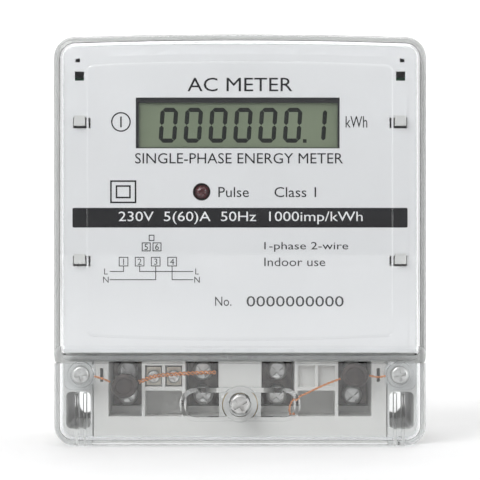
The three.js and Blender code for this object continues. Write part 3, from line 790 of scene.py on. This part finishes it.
shell = sloped_outside()
panel = slab("panel", 46.4, (-29.2, 53), (COVER_FRONT - 1.7, PANEL_FRONT), 2, 2, 0.8, 1.2, 1.2)
hollow = slab("hollow", HALF - COVER_WALL, (COVER_LOW + COVER_WALL, CROWN - COVER_WALL),
              (COVER_BACK - 2, COVER_FRONT - COVER_WALL), 2, CORNER - COVER_WALL, 1.4, BOW)
cut(weld(shell, panel), hollow)

# %% Tongue, ears and screw collars of the main cover
tongue = slab("tongue", 53.8, (-32, 58.9), (38.4, COVER_BACK + 1.3), 0, 3.4, 0, BOW)
shoulder = slab("shoulder", 55, (-32, 60.3), (COVER_BACK, COVER_BACK + 1.5), 0, 4.4, 0, BOW)
inside = slab("inside", 52.7, (-40, 57.7), (30, 50), 0, 2.4, 0, BOW)
weld(shell, cut(weld(shoulder, tongue), inside))
EAR_THICK, EAR_LOW = 2.5, -45.9
for side in SIDES:
    ends = sorted((side * 44.4, side * 53.8))
    ear = block("ear", ends, (COVER_BACK, COVER_BACK + EAR_THICK), (EAR_LOW, COVER_LOW + 1))
    round_edges(ear, 2.2, 6, lambda e: runs_deep(e) and e[0].z < -0.04)
    x = side * SCREW_X
    collar = turned("collar", x, SCREW_Z, [
        (4.6, COVER_BACK + 0.1), (4.6, COVER_BACK + EAR_THICK), (4.1, COVER_BACK + 2.9),
        (3.9, COVER_BACK + 3.6), (3.9, 46.2), (3.7, 46.4)])
    clearance = rod("clearance", (x, 40, SCREW_Z), (x, 50, SCREW_Z), 1.8)
    seat = rod("seat", (x, 44.6, SCREW_Z), (x, 50, SCREW_Z), 3.1)
    cut(weld(shell, ear, collar), clearance, seat)
complete(shell, "case", CLEAR_COVER, ["main_cover"], edge=0.12)
print("main cover faces", len(shell.data.polygons))

# %% [markdown]
# ## Clear terminal cover
# The terminal cover is a lid with one captive screw in a round boss. On each side of the boss a
# finger groove sinks into the lid, so that it can be gripped and pulled off. A groove is a pill
# shape whose floor is sliced by a slanting plane; a larger copy is welded on first, so that the
# groove keeps a wall behind it.

# %% A finger groove
SEAL_Z = -50
GROOVE_HALF, GROOVE_START, GROOVE_END = 3.7, 2.5, 17
SLANT_X, SLANT_DEPTH, SLANT = 6, 45.6, 0.3


def groove(side, grow, mouth):
    """A pill beside the boss, whose deep end is sliced off along a slant."""
    half = GROOVE_HALF + grow
    ends = sorted((side * GROOVE_START, side * (GROOVE_END + grow)))
    pill = block("groove", ends, (43, mouth), (SEAL_Z - half, SEAL_Z + half))
    round_edges(pill, half * 0.98, 12, lambda e: runs_deep(e) and abs(e[0].x) > 0.01)
    slice_off(pill, at(side * SLANT_X, SLANT_DEPTH - grow, SEAL_Z), (side * SLANT, 1, 0))
    return pill


# %% Terminal cover
LID_WALL = 1.8
BOSS_RADIUS = 5.45
TOP_EDGE = (LID_HIGH - 0.01) * MM

lid = slab("terminal_lid", HALF, (BOTTOM, LID_HIGH), (COVER_BACK, LID_FRONT), CORNER, 0)
round_edges(lid, 2.4, 7, lambda e: at_depth(e, LID_FRONT) and not all(p.z > TOP_EDGE for p in e))
hollow = slab("hollow", HALF - LID_WALL, (BOTTOM + LID_WALL, LID_HIGH + 2),
              (COVER_BACK - 2, LID_FRONT - LID_WALL), CORNER - LID_WALL, 0, 1.2)
cut(lid, hollow)
for side in SIDES:
    weld(lid, groove(side, 1.4, LID_FRONT - 0.6))
    cut(lid, groove(side, 0, LID_FRONT + 1))
boss = turned("boss", 0, SEAL_Z, [(BOSS_RADIUS, 41.9), (BOSS_RADIUS, LID_FRONT - 0.3),
                                  (BOSS_RADIUS - 0.3, LID_FRONT)], 48)
weld(lid, boss)
cut(lid, rod("clearance", (0, 40, SEAL_Z), (0, 52, SEAL_Z), 2.2),
    rod("seat", (0, 46.4, SEAL_Z), (0, 52, SEAL_Z), 3.7, 40))
RIBS_X, RIB_HALF = (47.2, 49.6), 0.45
for x in (side * rib_x for side in SIDES for rib_x in RIBS_X):
    weld(lid, block("rib", (x - RIB_HALF, x + RIB_HALF), (43, LID_FRONT - LID_WALL + 0.4),
                    (-60.9, -46.6)))
complete(lid, "terminal_cover", CLEAR_COVER, ["terminal_cover"], edge=0.12)
print("terminal cover: volume and open edges", volume_of(lid))
print("packed terminal cover:", volume_of(NODES["terminal_cover"]))

# %% [markdown]
# ## Screws
# Every screw on the meter is a pan head with a combined slot and cross, so that any driver fits.
# One is modelled for each size: the head and its threads are extruded ring by ring from a circle,
# then the recess is cut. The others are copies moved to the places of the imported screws.

# %% Shape of one screw
def threads(core, crest, start, end, pitch):
    rings = [(core * 0.8, start)]
    depth = start + pitch / 2
    while depth + pitch <= end:
        rings += [(core, depth), (crest, depth + pitch * 0.4), (crest, depth + pitch * 0.55)]
        depth += pitch
    return rings + [(core, end)]


def turn_piece(obj, degrees, centre):
    """Turns a piece about its own front-to-back axis."""
    edit_all(obj)
    bpy.ops.transform.rotate(
        value=math.radians(degrees), orient_axis="Y", center_override=centre)
    object_mode()


def make_screw(node, name, shank, pitch, head_height, turn):
    x0, x1, tip, top, z0, z1 = extent(node)
    x, z, head, seat = (x0 + x1) / 2, (z0 + z1) / 2, (x1 - x0) / 2, top - head_height
    dome = 0.35
    body = turned(name, x, z, threads(shank * 0.84, shank, tip, seat - 0.1, pitch) + [
        (head * 0.97, seat), (head, seat + 0.2), (head, top - dome * 2), (head * 0.93, top - dome),
        (head * 0.78, top - 0.08), (head * 0.66, top)])
    arm, width, floor = head * 0.7, head * 0.17, top - head_height * 0.6
    recess = block("recess", (x - arm, x + arm), (floor, top + 1), (z - width, z + width))
    cross = block("cross", (x - width, x + width), (floor, top + 1), (z - arm, z + arm))
    cut(body, weld(recess, cross))
    turn_piece(body, turn, at(x, top, z))
    return body


# %% Screws copied to their places
# Family: modelled screw, shank radius, thread pitch, height of the head, turn of the slot
SCREWS = {
    "terminal_screw": ("terminal_screw_1_lower", 2.4, 0.8, 3.2, 40),
    "pulse_screw": ("pulse_screw_5", 1.1, 0.45, 1.7, 20),
    "seal_screw": ("seal_screw", 1.8, 0.7, 2.6, 32),
    "cover_screw": ("cover_screw_left", 1.15, 0.6, 2.2, 12),
    "board_screw": ("board_screw_upper_left", 1.0, 0.6, 1.6, 20),
}

count = 0
for family, (node, *sizes) in SCREWS.items():
    first = make_screw(node, node + "_detail", *sizes)
    soften(first, 0.08, 2, 40)
    home = extent(node)
    for other in sorted(n for n in NODES if n.startswith(family)):
        there = extent(other)
        shift = [there[i] - home[i] for i in (0, 2, 4)]
        moved = first if other == node else copy_of(first, other + "_detail", *shift)
        body = other if other in frame["bodies"] else "case"
        complete(moved, body, ZINC, [other], edge=0)
        count += 1
print("screws:", count)

# %% [markdown]
# ## Terminals
# A mains terminal is a block of nickelled brass drilled for the wire, with a tail that runs up to
# the circuit; the two small pulse terminals are tinned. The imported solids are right, so each is a
# refined copy with a slightly rounded edge.

# %% Mains and pulse terminals
for node in ("terminal_1", "terminal_2", "terminal_3", "terminal_4"):
    terminal = refined_copy(node, node + "_detail", 0.15)
    complete(terminal, "case", NICKELLED_BRASS, [node], edge=0)
for node in ("pulse_terminal_5", "pulse_terminal_6"):
    terminal = refined_copy(node, node + "_detail", 0.08)
    complete(terminal, "case", TINNED_BRASS, [node], edge=0)
print("mains terminal: volume and open edges", volume_of(bpy.data.objects["terminal_1_detail"]))

# %% [markdown]
# ## Factory seals
# A lead slug is threaded on a copper wire through the head of each cover screw and pressed flat,
# and the twisted ends of the wire are left over. Two thin strands are wound round one route by
# turning an offset as it goes, which is how the real pair is twisted.

# %% Lead slugs
def slug(node, name, turn):
    x0, x1, back, front, z0, z1 = extent(node)
    x, z, radius = (x0 + x1) / 2, (z0 + z1) / 2, (x1 - x0) / 2
    disc = turned(name, x, z, [
        (radius * 0.72, back), (radius * 0.93, back + 0.3), (radius, back + 0.9),
        (radius, front - 0.9), (radius * 0.94, front - 0.3), (radius * 0.8, front),
        (radius * 0.68, front), (radius * 0.6, front - 0.45), (radius * 0.2, front - 0.45)], 36)
    edit_all(disc)
    bpy.ops.transform.resize(value=(1, 1, 0.9), center_override=at(x, back, z))
    turn_piece(disc, turn, at(x, back, z))
    return complete(disc, "case", LEAD, [node], edge=0.1)


for side_name, turn in (("left", 25), ("right", -20)):
    lead = slug("lead_seal_" + side_name, "lead_slug_" + side_name, turn)
    print(lead.name, "faces", len(lead.data.polygons))

# %% Routes of the seal wires
# Node: radius of a strand, its distance from the route, and points of the route
WIRE_ROUTES = {
    "seal_wire_loop_left": (0.17, 0.2, [
        (-44.4, 45.4, -41.6), (-42, 45.2, -42.3), (-39.7, 44.4, -43.4)]),
    "seal_wire_loop_right": (0.17, 0.2, [
        (44.4, 45.4, -41.5), (42, 45.3, -41.8), (39.5, 44.4, -41.4)]),
    "seal_wire_tail_left": (0.26, 0.45, [
        (-30.9, 44.2, -43.4), (-26, 44.8, -41.6), (-20, 44.6, -41), (-14, 44.1, -40.7),
        (-7.5, 43.6, -40.5)]),
    "seal_wire_tail_right": (0.17, 0.2, [
        (30.7, 44.2, -42.4), (26, 44.4, -44.2), (20.5, 44.2, -46.8), (16.6, 43.4, -48.8),
        (15.3, 42.6, -51.4), (15.6, 42.3, -53.6)]),
}


def smooth_route(points, steps=14):
    """Points along a smooth curve through the given ones."""
    line = [at(*p) for p in points]
    line = [2 * line[0] - line[1], *line, 2 * line[-1] - line[-2]]
    route = []
    for a, b, c, d in zip(line, line[1:], line[2:], line[3:]):
        for i in range(steps):
            t = i / steps
            route.append(0.5 * (2 * b + (c - a) * t + (2 * a - 5 * b + 4 * c - d) * t ** 2
                                + (3 * b - a - 3 * c + d) * t ** 3))
    return route + [line[-2]]


# %% Twisted copper wires
def strand(name, route, radius, offset, phase, pitch=2.6):
    curve = bpy.data.curves.new(name, "CURVE")
    curve.dimensions = "3D"
    curve.bevel_depth = radius * MM
    curve.bevel_resolution = 3
    curve.use_fill_caps = True
    spline = curve.splines.new("POLY")
    spline.points.add(len(route) - 1)
    travelled = 0
    for i, point in enumerate(route):
        ahead = (route[min(i + 1, len(route) - 1)] - route[max(i - 1, 0)]).normalized()
        side = ahead.cross(Vector((0, 1, 0))).normalized()
        over = ahead.cross(side)
        turn = phase + 2 * math.pi * travelled / (pitch * MM)
        place = point + (side * math.cos(turn) + over * math.sin(turn)) * offset * MM
        spline.points[i].co = (*place, 1)
        travelled += (route[min(i + 1, len(route) - 1)] - point).length
    obj = bpy.data.objects.new(name, curve)
    bpy.context.scene.collection.objects.link(obj)
    only(obj)
    bpy.ops.object.convert(target="MESH")
    return bpy.context.object


for node, (radius, offset, points) in WIRE_ROUTES.items():
    route = smooth_route(points)
    pair = [strand(node, route, radius, offset, phase) for phase in (0, math.pi)]
    complete(merge(node + "_strands", pair), "case", COPPER, [node], edge=0)
print("twisted wires:", len(WIRE_ROUTES))

# %% [markdown]
# ## Display
# Behind the window is a liquid crystal cell with a polariser film on its front, held by a black
# frame. The frame's black is partly its own dark plastic and partly painted shade: it stands in for
# the shadow that falls into the gap between the plate and the cell, which is widest along the top.
# The lit segments are six-sided bars with pointed ends, so one bar is made from a thin box whose
# end edges are bevelled to points, and it is copied for every lit segment.

# %% Display film
WINDOW_X, WINDOW_Z = (-30.9, 29.8), (28.3, 41.9)
FILM_DEPTH = (GLASS_FRONT, GLASS_FRONT + 0.16)
film = block("display_film", WINDOW_X, FILM_DEPTH, WINDOW_Z)
complete(film, "case", DISPLAY_FILM, edge=0.04)
print("display film:", round(WINDOW_X[1] - WINDOW_X[0], 1), "mm wide")

# %% One figure of the display
DIGIT_HEIGHT, DIGIT_WIDTH, BAR = 10.7, 5.4, 1.3
DIGIT_PITCH, FIRST_DIGIT = 7.6, -21.9
DISPLAY_Z = (GLASS_LOW + GLASS_HIGH) / 2 - 0.6
FIGURE_BACK = GLASS_FRONT + 0.17
LEAN = 0.07
LIT = {"0": "abcdef", "1": "bc"}


def bar(length, upright):
    half, thick = length / 2, BAR / 2
    size = ((-thick, thick), (-half, half)) if upright else ((-half, half), (-thick, thick))
    obj = block("bar", size[0], (FIGURE_BACK, FIGURE_BACK + 0.03), size[1])
    round_edges(obj, thick * 0.96, 1, runs_deep)
    return obj


def digit(figure, x):
    across = DIGIT_WIDTH - BAR - 0.1
    upright = DIGIT_HEIGHT / 2 - BAR / 2 - 0.1
    side, quarter = (DIGIT_WIDTH - BAR) / 2, (DIGIT_HEIGHT - BAR) / 4
    places = {
        "a": (0, 2 * quarter, False), "d": (0, -2 * quarter, False),
        "b": (side, quarter, True), "c": (side, -quarter, True),
        "f": (-side, quarter, True), "e": (-side, -quarter, True),
    }
    bars = []
    for name in LIT[figure]:
        dx, dz, stands = places[name]
        obj = bar(upright if stands else across, stands)
        if stands:
            obj.rotation_euler.y = math.atan(LEAN)
        obj.location = at(x + dx + dz * LEAN, 0, DISPLAY_Z + dz)
        bars.append(settle(obj))
    return bars


# %% All the figures
bars = []
for i, figure in enumerate("0000001"):
    bars += digit(figure, FIRST_DIGIT + i * DIGIT_PITCH)
POINT = 1.1
point_x, point_low = FIRST_DIGIT + 5.5 * DIGIT_PITCH - 0.1, DISPLAY_Z - DIGIT_HEIGHT / 2
bars.append(block("point", (point_x - POINT / 2, point_x + POINT / 2),
                  (FIGURE_BACK, FIGURE_BACK + 0.03), (point_low, point_low + POINT)))
complete(merge("display_digits", bars), "case", DIGIT_INK, edge=0)
print("display bars:", len(bars))

# %% [markdown]
# ## Nameplate
# The nameplate is a thin pale tray that clips over the display and closes the front of the case.
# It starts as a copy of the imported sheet, which already has the window, the lamp's hole and the
# slots, and gets the turned-back rim that hides the gap to the case walls. The rim is a rounded
# ring, so it is one slab with a smaller slab taken out of it.

# %% Nameplate with its rim
plate = refined_copy("nameplate", "printed_tray", 0.1, whole_flats=False)
rim = slab("rim", 54.1, (PLATE_LOW - 0.9, CROWN - COVER_WALL - 0.4), (43.5, PLATE_FRONT - 0.3),
           1.5, 3.6, 0.3, 0.9)
cut(rim, slab("opening", 50.9, (PLATE_LOW + 0.3, PLATE_HIGH - BOW - 0.4),
              (PLATE_FRONT - 5, PLATE_FRONT + 1), 2, 2, 0, BOW))
weld(plate, rim)
complete(plate, "case", PLATE_SHEET, ["nameplate"], edge=0)
print("nameplate: volume and open edges", volume_of(plate))

# %% [markdown]
# ## Print on the nameplate
# All wording here is general: the kind of meter, its ratings and a blank number. Text is written
# with Blender's own font, made a mesh, fitted to its width and height, and laid a hair's breadth
# above the plate, as a layer of ink is. Lines and boxes of the wiring diagram are thin bars.

# %% Lettering
INK_BACK = PLATE_FRONT + 0.01
INK_DEPTH = 0.02


def lettering(name, words, left, right, z, height, layer=0.0):
    deselect()
    bpy.ops.object.text_add(rotation=(math.pi / 2, 0, 0))
    obj = bpy.context.object
    obj.data.body = words
    obj.data.resolution_u = 3
    obj.data.extrude = 0.5
    bpy.ops.object.convert(target="MESH")
    obj = settle(bpy.context.object, name)
    xs = [v.co.x for v in obj.data.vertices]
    zs = [v.co.z for v in obj.data.vertices]
    tall = height * MM / (max(zs) - min(zs))
    wide = (right - left) * MM / (max(xs) - min(xs)) if right > left else tall
    obj.scale = (wide, INK_DEPTH * MM, tall)
    middle = at((left + right) / 2, INK_BACK + layer + INK_DEPTH / 2, z)
    middle.x -= wide * (max(xs) + min(xs)) / 2
    middle.z -= tall * (max(zs) + min(zs)) / 2
    obj.location = middle
    return settle(obj)


# %% Bars, boxes and rings of ink
def ink_bar(x0, x1, z0, z1):
    return block("ink", (x0, x1), (INK_BACK, INK_BACK + INK_DEPTH), (z0, z1))


def ink_box(x0, x1, z0, z1, line=0.3):
    return [ink_bar(x0, x1, z0, z0 + line), ink_bar(x0, x1, z1 - line, z1),
            ink_bar(x0, x0 + line, z0 + line, z1 - line),
            ink_bar(x1 - line, x1, z0 + line, z1 - line)]


def ink_ring(x, z, radius, line=0.35):
    disc = turned("ring", x, z, [(radius, INK_BACK), (radius, INK_BACK + INK_DEPTH)], 40)
    return cut(disc, rod("inner", (x, 40, z), (x, 50, z), radius - line, 40))


# %% Ratings band
band = block("rating_band", (-PLATE_HALF + 0.1, PLATE_HALF - 0.1),
             (INK_BACK, INK_BACK + INK_DEPTH), (3.8, 9.8))
round_edges(band, 0.4, 5, runs_deep)
complete(band, "case", INK, edge=0)
ratings = lettering("band_lettering", "230V  5(60)A  50Hz  1000imp/kWh", -37, 37.4, 6.75, 3.9, 0.03)
complete(ratings, "case", WHITE_INK, edge=0)
print("ratings lettering faces:", len(ratings.data.polygons))

# %% Words and signs
ink = [
    lettering("head", "AC METER", -16, 16, 47.4, 4.2),
    lettering("title", "SINGLE-PHASE ENERGY METER", -32, 31.4, 24.9, 3.2),
    lettering("unit", "kWh", 32.2, 38.8, 36, 3.5),
    lettering("one", "1", -36.3, -36.3, 36, 3.3),
    lettering("pulse", "Pulse", -6.6, 2.7, 14.6, 3.1),
    lettering("class", "Class 1", 10.5, 23.2, 14.6, 3.1),
    lettering("wires", "1-phase 2-wire", 7.4, 33, -2.1, 3),
    lettering("indoor", "Indoor use", 7.4, 26, -6.7, 2.6),
    lettering("number_word", "No.", -7.6, -2.6, -18.7, 2.8),
    lettering("number", "0000000000", 2, 31.6, -18.7, 3.2),
    ink_ring(-36.3, 36, 3, 0.4),
]
ink += ink_box(-39.6, -31.6, 11.2, 18.2, 0.5) + ink_box(-37.9, -33.3, 12.7, 16.7, 0.5)

# %% [markdown]
# The wiring diagram shows the four mains terminals in a row, with the line on the first two and the
# neutral on the last two, and the two pulse terminals above them. All its lines run straight across
# or straight down, so each is a bar between two corners.

# %% Wiring diagram
DIAGRAM_X = [-35.5, -30.6, -25.7, -20.7]
DIAGRAM_Z, BOX_SIZE = -6.6, 2.9
LINE_Z, NEUTRAL_Z = -9.6, -12.1
LINE_LEFT, LINE_RIGHT = -39.6, -14.4
HAIR = 0.13


def ink_line(x0, z0, x1, z1):
    return ink_bar(min(x0, x1) - HAIR, max(x0, x1) + HAIR, min(z0, z1) - HAIR, max(z0, z1) + HAIR)


def numbered_box(number, x, z, size):
    marks = ink_box(x - size / 2, x + size / 2, z - size / 2, z + size / 2, 2 * HAIR)
    return marks + [lettering("terminal", number, x, x, z, 1.9)]


for number, x in zip("1234", DIAGRAM_X):
    ink += numbered_box(number, x, DIAGRAM_Z, BOX_SIZE)
ink += numbered_box("5", -28.6, -2.1, 2.7) + numbered_box("6", -25.3, -2.1, 2.7)
ink += ink_box(-27.8, -26.1, -0.3, 1.6, 2 * HAIR)
ends = [
    (DIAGRAM_X[0], LINE_Z, LINE_LEFT), (DIAGRAM_X[1], LINE_Z, LINE_RIGHT),
    (DIAGRAM_X[2], NEUTRAL_Z, LINE_LEFT), (DIAGRAM_X[3], NEUTRAL_Z, LINE_RIGHT),
]
for x, z, end in ends:
    ink += [ink_line(x, DIAGRAM_Z - BOX_SIZE / 2, x, z), ink_line(x, z, end, z)]
for word, z in (("L", LINE_Z), ("N", NEUTRAL_Z)):
    for x in (LINE_LEFT - 1.3, LINE_RIGHT + 1.3):
        ink.append(lettering("conductor", word, x, x, z, 1.8))
complete(merge("plate_lettering", ink), "case", INK, edge=0)
print("printed marks:", len(ink))

# %% [markdown]
# ## Pulse lamp
# The lamp is a five-millimetre light-emitting diode. Its flange, barrel and dome are extruded from
# one circle, ring by ring, and the dome follows a quarter circle.

# %% Lamp
lamp_x0, lamp_x1, lamp_back, lamp_front, lamp_z0, lamp_z1 = extent("pulse_led")
FLANGE, DOME = 2.85, 2.5
dome = [(DOME * math.cos(a), lamp_front - DOME + DOME * math.sin(a))
        for a in (math.radians(9 * i) for i in range(10))]
lamp = turned("lamp", (lamp_x0 + lamp_x1) / 2, (lamp_z0 + lamp_z1) / 2, [
    (FLANGE, lamp_back), (FLANGE, lamp_back + 1), (DOME, lamp_back + 1.1), *dome], 40)
complete(lamp, "case", RED_LENS, ["pulse_led"], edge=0)
print("lamp: volume and open edges", volume_of(lamp))

# %% [markdown]
# ## Pieces that keep their imported shape
# The rest are flat plates, plain components and short insulated wires, most of them sealed inside.
# Their imported shapes are right, so each only gets its finish in place of the plain one.

# %% Finishes for the imported pieces
# The display frame's black finish is partly painted shade in the display window.
FINISHES = {
    "display_bezel": BEZEL_BLACK_AND_PAINTED_SHADE, "display_glass": DISPLAY_EDGE,
    "contact_strip_upper": RUBBER, "contact_strip_lower": RUBBER, "metering_board": CIRCUIT_BOARD,
    "crystal_can": TINNED_STEEL, "metering_chip": CHIP_EPOXY, "controller_chip": CHIP_EPOXY,
    "optocoupler": CHIP_EPOXY, "mains_capacitor": YELLOW_CASE, "smoothing_capacitor": BLUE_SLEEVE,
    "varistor": BLUE_DIP, "fusible_resistor": CEMENT, "shunt_strap_in": COPPER,
    "shunt_resistor": MANGANIN, "shunt_strap_out": COPPER, "neutral_link": COPPER,
    "insert_bush": BRASS, "sense_wire_red": RED_WIRE, "sense_wire_black": BLACK_WIRE,
    "neutral_wire": BLUE_WIRE, "pulse_wire_5": WHITE_WIRE, "pulse_wire_6": WHITE_WIRE,
}
for node, material in FINISHES.items():
    for slot in NODES[node].material_slots:
        slot.material = material
print("packed pieces finished:", len(FINISHES))

# %% [markdown]
# ## Camera
# The meter is shown straight from the front, as on a data sheet. A long lens from about six
# hundred millimetres keeps the sides of the box from spreading, so the outline stays square.

# %% Camera straight in front
VIEW_DISTANCE = 0.64
LENS = 146
deselect()
bpy.ops.object.camera_add(location=(0, -VIEW_DISTANCE, 0), rotation=(math.pi / 2, 0, 0))
camera = bpy.context.object
camera.data.lens = LENS
camera.data.clip_start = 0.01
bpy.context.scene.camera = camera
print("camera lens", LENS, "mm at", VIEW_DISTANCE, "m")

# %% [markdown]
# ## Floor
# The meter stands on a pale sweep that curves up far behind it, so no line shows where floor and
# background meet. The floor is clear when it is seen from below, and open under the case, so a
# view of the underside shows the wire entries in full light.

# %% Finish of the floor and its opening
def floor_finish():
    """Matt and pale from above; from below it lets the underside of the meter be seen."""
    material = moulded("Pale floor", (0.86, 0.86, 0.86), (0.84, 0.84, 0.84), 0.75, 300.0)
    tree = material.node_tree
    shader = next(n for n in tree.nodes if n.type == "BSDF_PRINCIPLED")
    below = tree.nodes.new("ShaderNodeNewGeometry").outputs["Backfacing"]
    let_through(tree, shader, below)
    return material


def open_floor(floor, x, depth):
    """Cuts the floor away between two values of x and two of depth."""
    for side_x in x:
        slice_along(floor, at(side_x, 0, 0), (1, 0, 0))
    for side_depth in depth:
        slice_along(floor, at(0, side_depth, 0), (0, 1, 0))

    def inside(p):
        return (x[0] * MM - NEAR < p.x < x[1] * MM + NEAR
                and depth[0] * MM - NEAR < -p.y < depth[1] * MM + NEAR)

    pick(floor, "FACE", lambda corners: all(inside(p) for p in corners))
    bpy.ops.mesh.delete(type="FACE")
    object_mode()


# %% Floor and sweep
FLOOR_SIZE, SWEEP_HEIGHT, SWEEP_RADIUS = 9, 2.2, 500
FLOOR_GAP = 0.0003
deselect()
bpy.ops.mesh.primitive_plane_add(size=1, location=(0, -3.1, BOTTOM * MM - FLOOR_GAP))
floor = bpy.context.object
floor.scale = (FLOOR_SIZE, FLOOR_SIZE, 1)
settle(floor, "floor")
back = max(v.co.y for v in floor.data.vertices)
pick(floor, "EDGE", lambda ends: all(p.y > back - NEAR for p in ends))
bpy.ops.mesh.extrude_region_move(TRANSFORM_OT_translate={"value": (0, 0, SWEEP_HEIGHT)})
object_mode()
round_edges(floor, SWEEP_RADIUS, 16, lambda e: all(p.y > back - NEAR and p.z < 0 for p in e))
open_floor(floor, (-50, 50), (2, 40))
smooth(floor, 40)
floor.data.materials.append(floor_finish())
print("floor reaches back to", round(back, 2), "m")

# %% [markdown]
# ## Light
# One large soft lamp above and to the left models the front, a weaker one fills from the right, a
# strip above draws a bright line along the covers' top edges, and a wide strip behind lights the
# sweep. The room is pale all round but dark behind the reader, because a clear cover that faces
# the reader mirrors that part, and what lies under the cover shows best against a dark mirror.

# %% Lamps and surroundings
def softbox(name, place, aim, size, power):
    deselect()
    place, aim = Vector(place), Vector(aim)
    turn = (aim - place).to_track_quat("-Z", "Y").to_euler()
    bpy.ops.object.light_add(type="AREA", location=place, rotation=turn)
    light = bpy.context.object
    light.name = name
    light.data.shape = "RECTANGLE"
    light.data.size, light.data.size_y = size
    light.data.energy = power


softbox("key", (-0.55, -0.75, 0.75), (0, 0, 0), (0.7, 0.7), 6.6)
softbox("fill", (0.85, -0.6, 0.15), (0, 0, 0), (0.8, 0.8), 2.5)
softbox("top", (0.1, 0.35, 0.9), (0, -0.02, 0.05), (0.8, 0.25), 1)
softbox("backdrop", (0, 0.75, 0.9), (0, 1.4, 0.35), (1.8, 0.3), 9)

# %% The room
world = bpy.data.worlds.new("Pale studio")
world.use_nodes = True
room = world.node_tree
sky = room.nodes["Background"]
split = room.nodes.new("ShaderNodeSeparateXYZ")
link(room, room.nodes.new("ShaderNodeTexCoord").outputs["Generated"], split.inputs["Vector"])
aside = remap(room, split.outputs["Y"], -0.93, -0.6)
shaded_room = blend_colours(room, aside, (0.22, 0.22, 0.23), (0.9, 0.9, 0.9))
seen = room.nodes.new("ShaderNodeLightPath").outputs["Is Camera Ray"]
link(room, blend_colours(room, seen, shaded_room, (0.93, 0.93, 0.93)), sky.inputs["Color"])
bpy.context.scene.world = world
bpy.context.scene.view_settings.view_transform = "Standard"
print("room:", world.name)
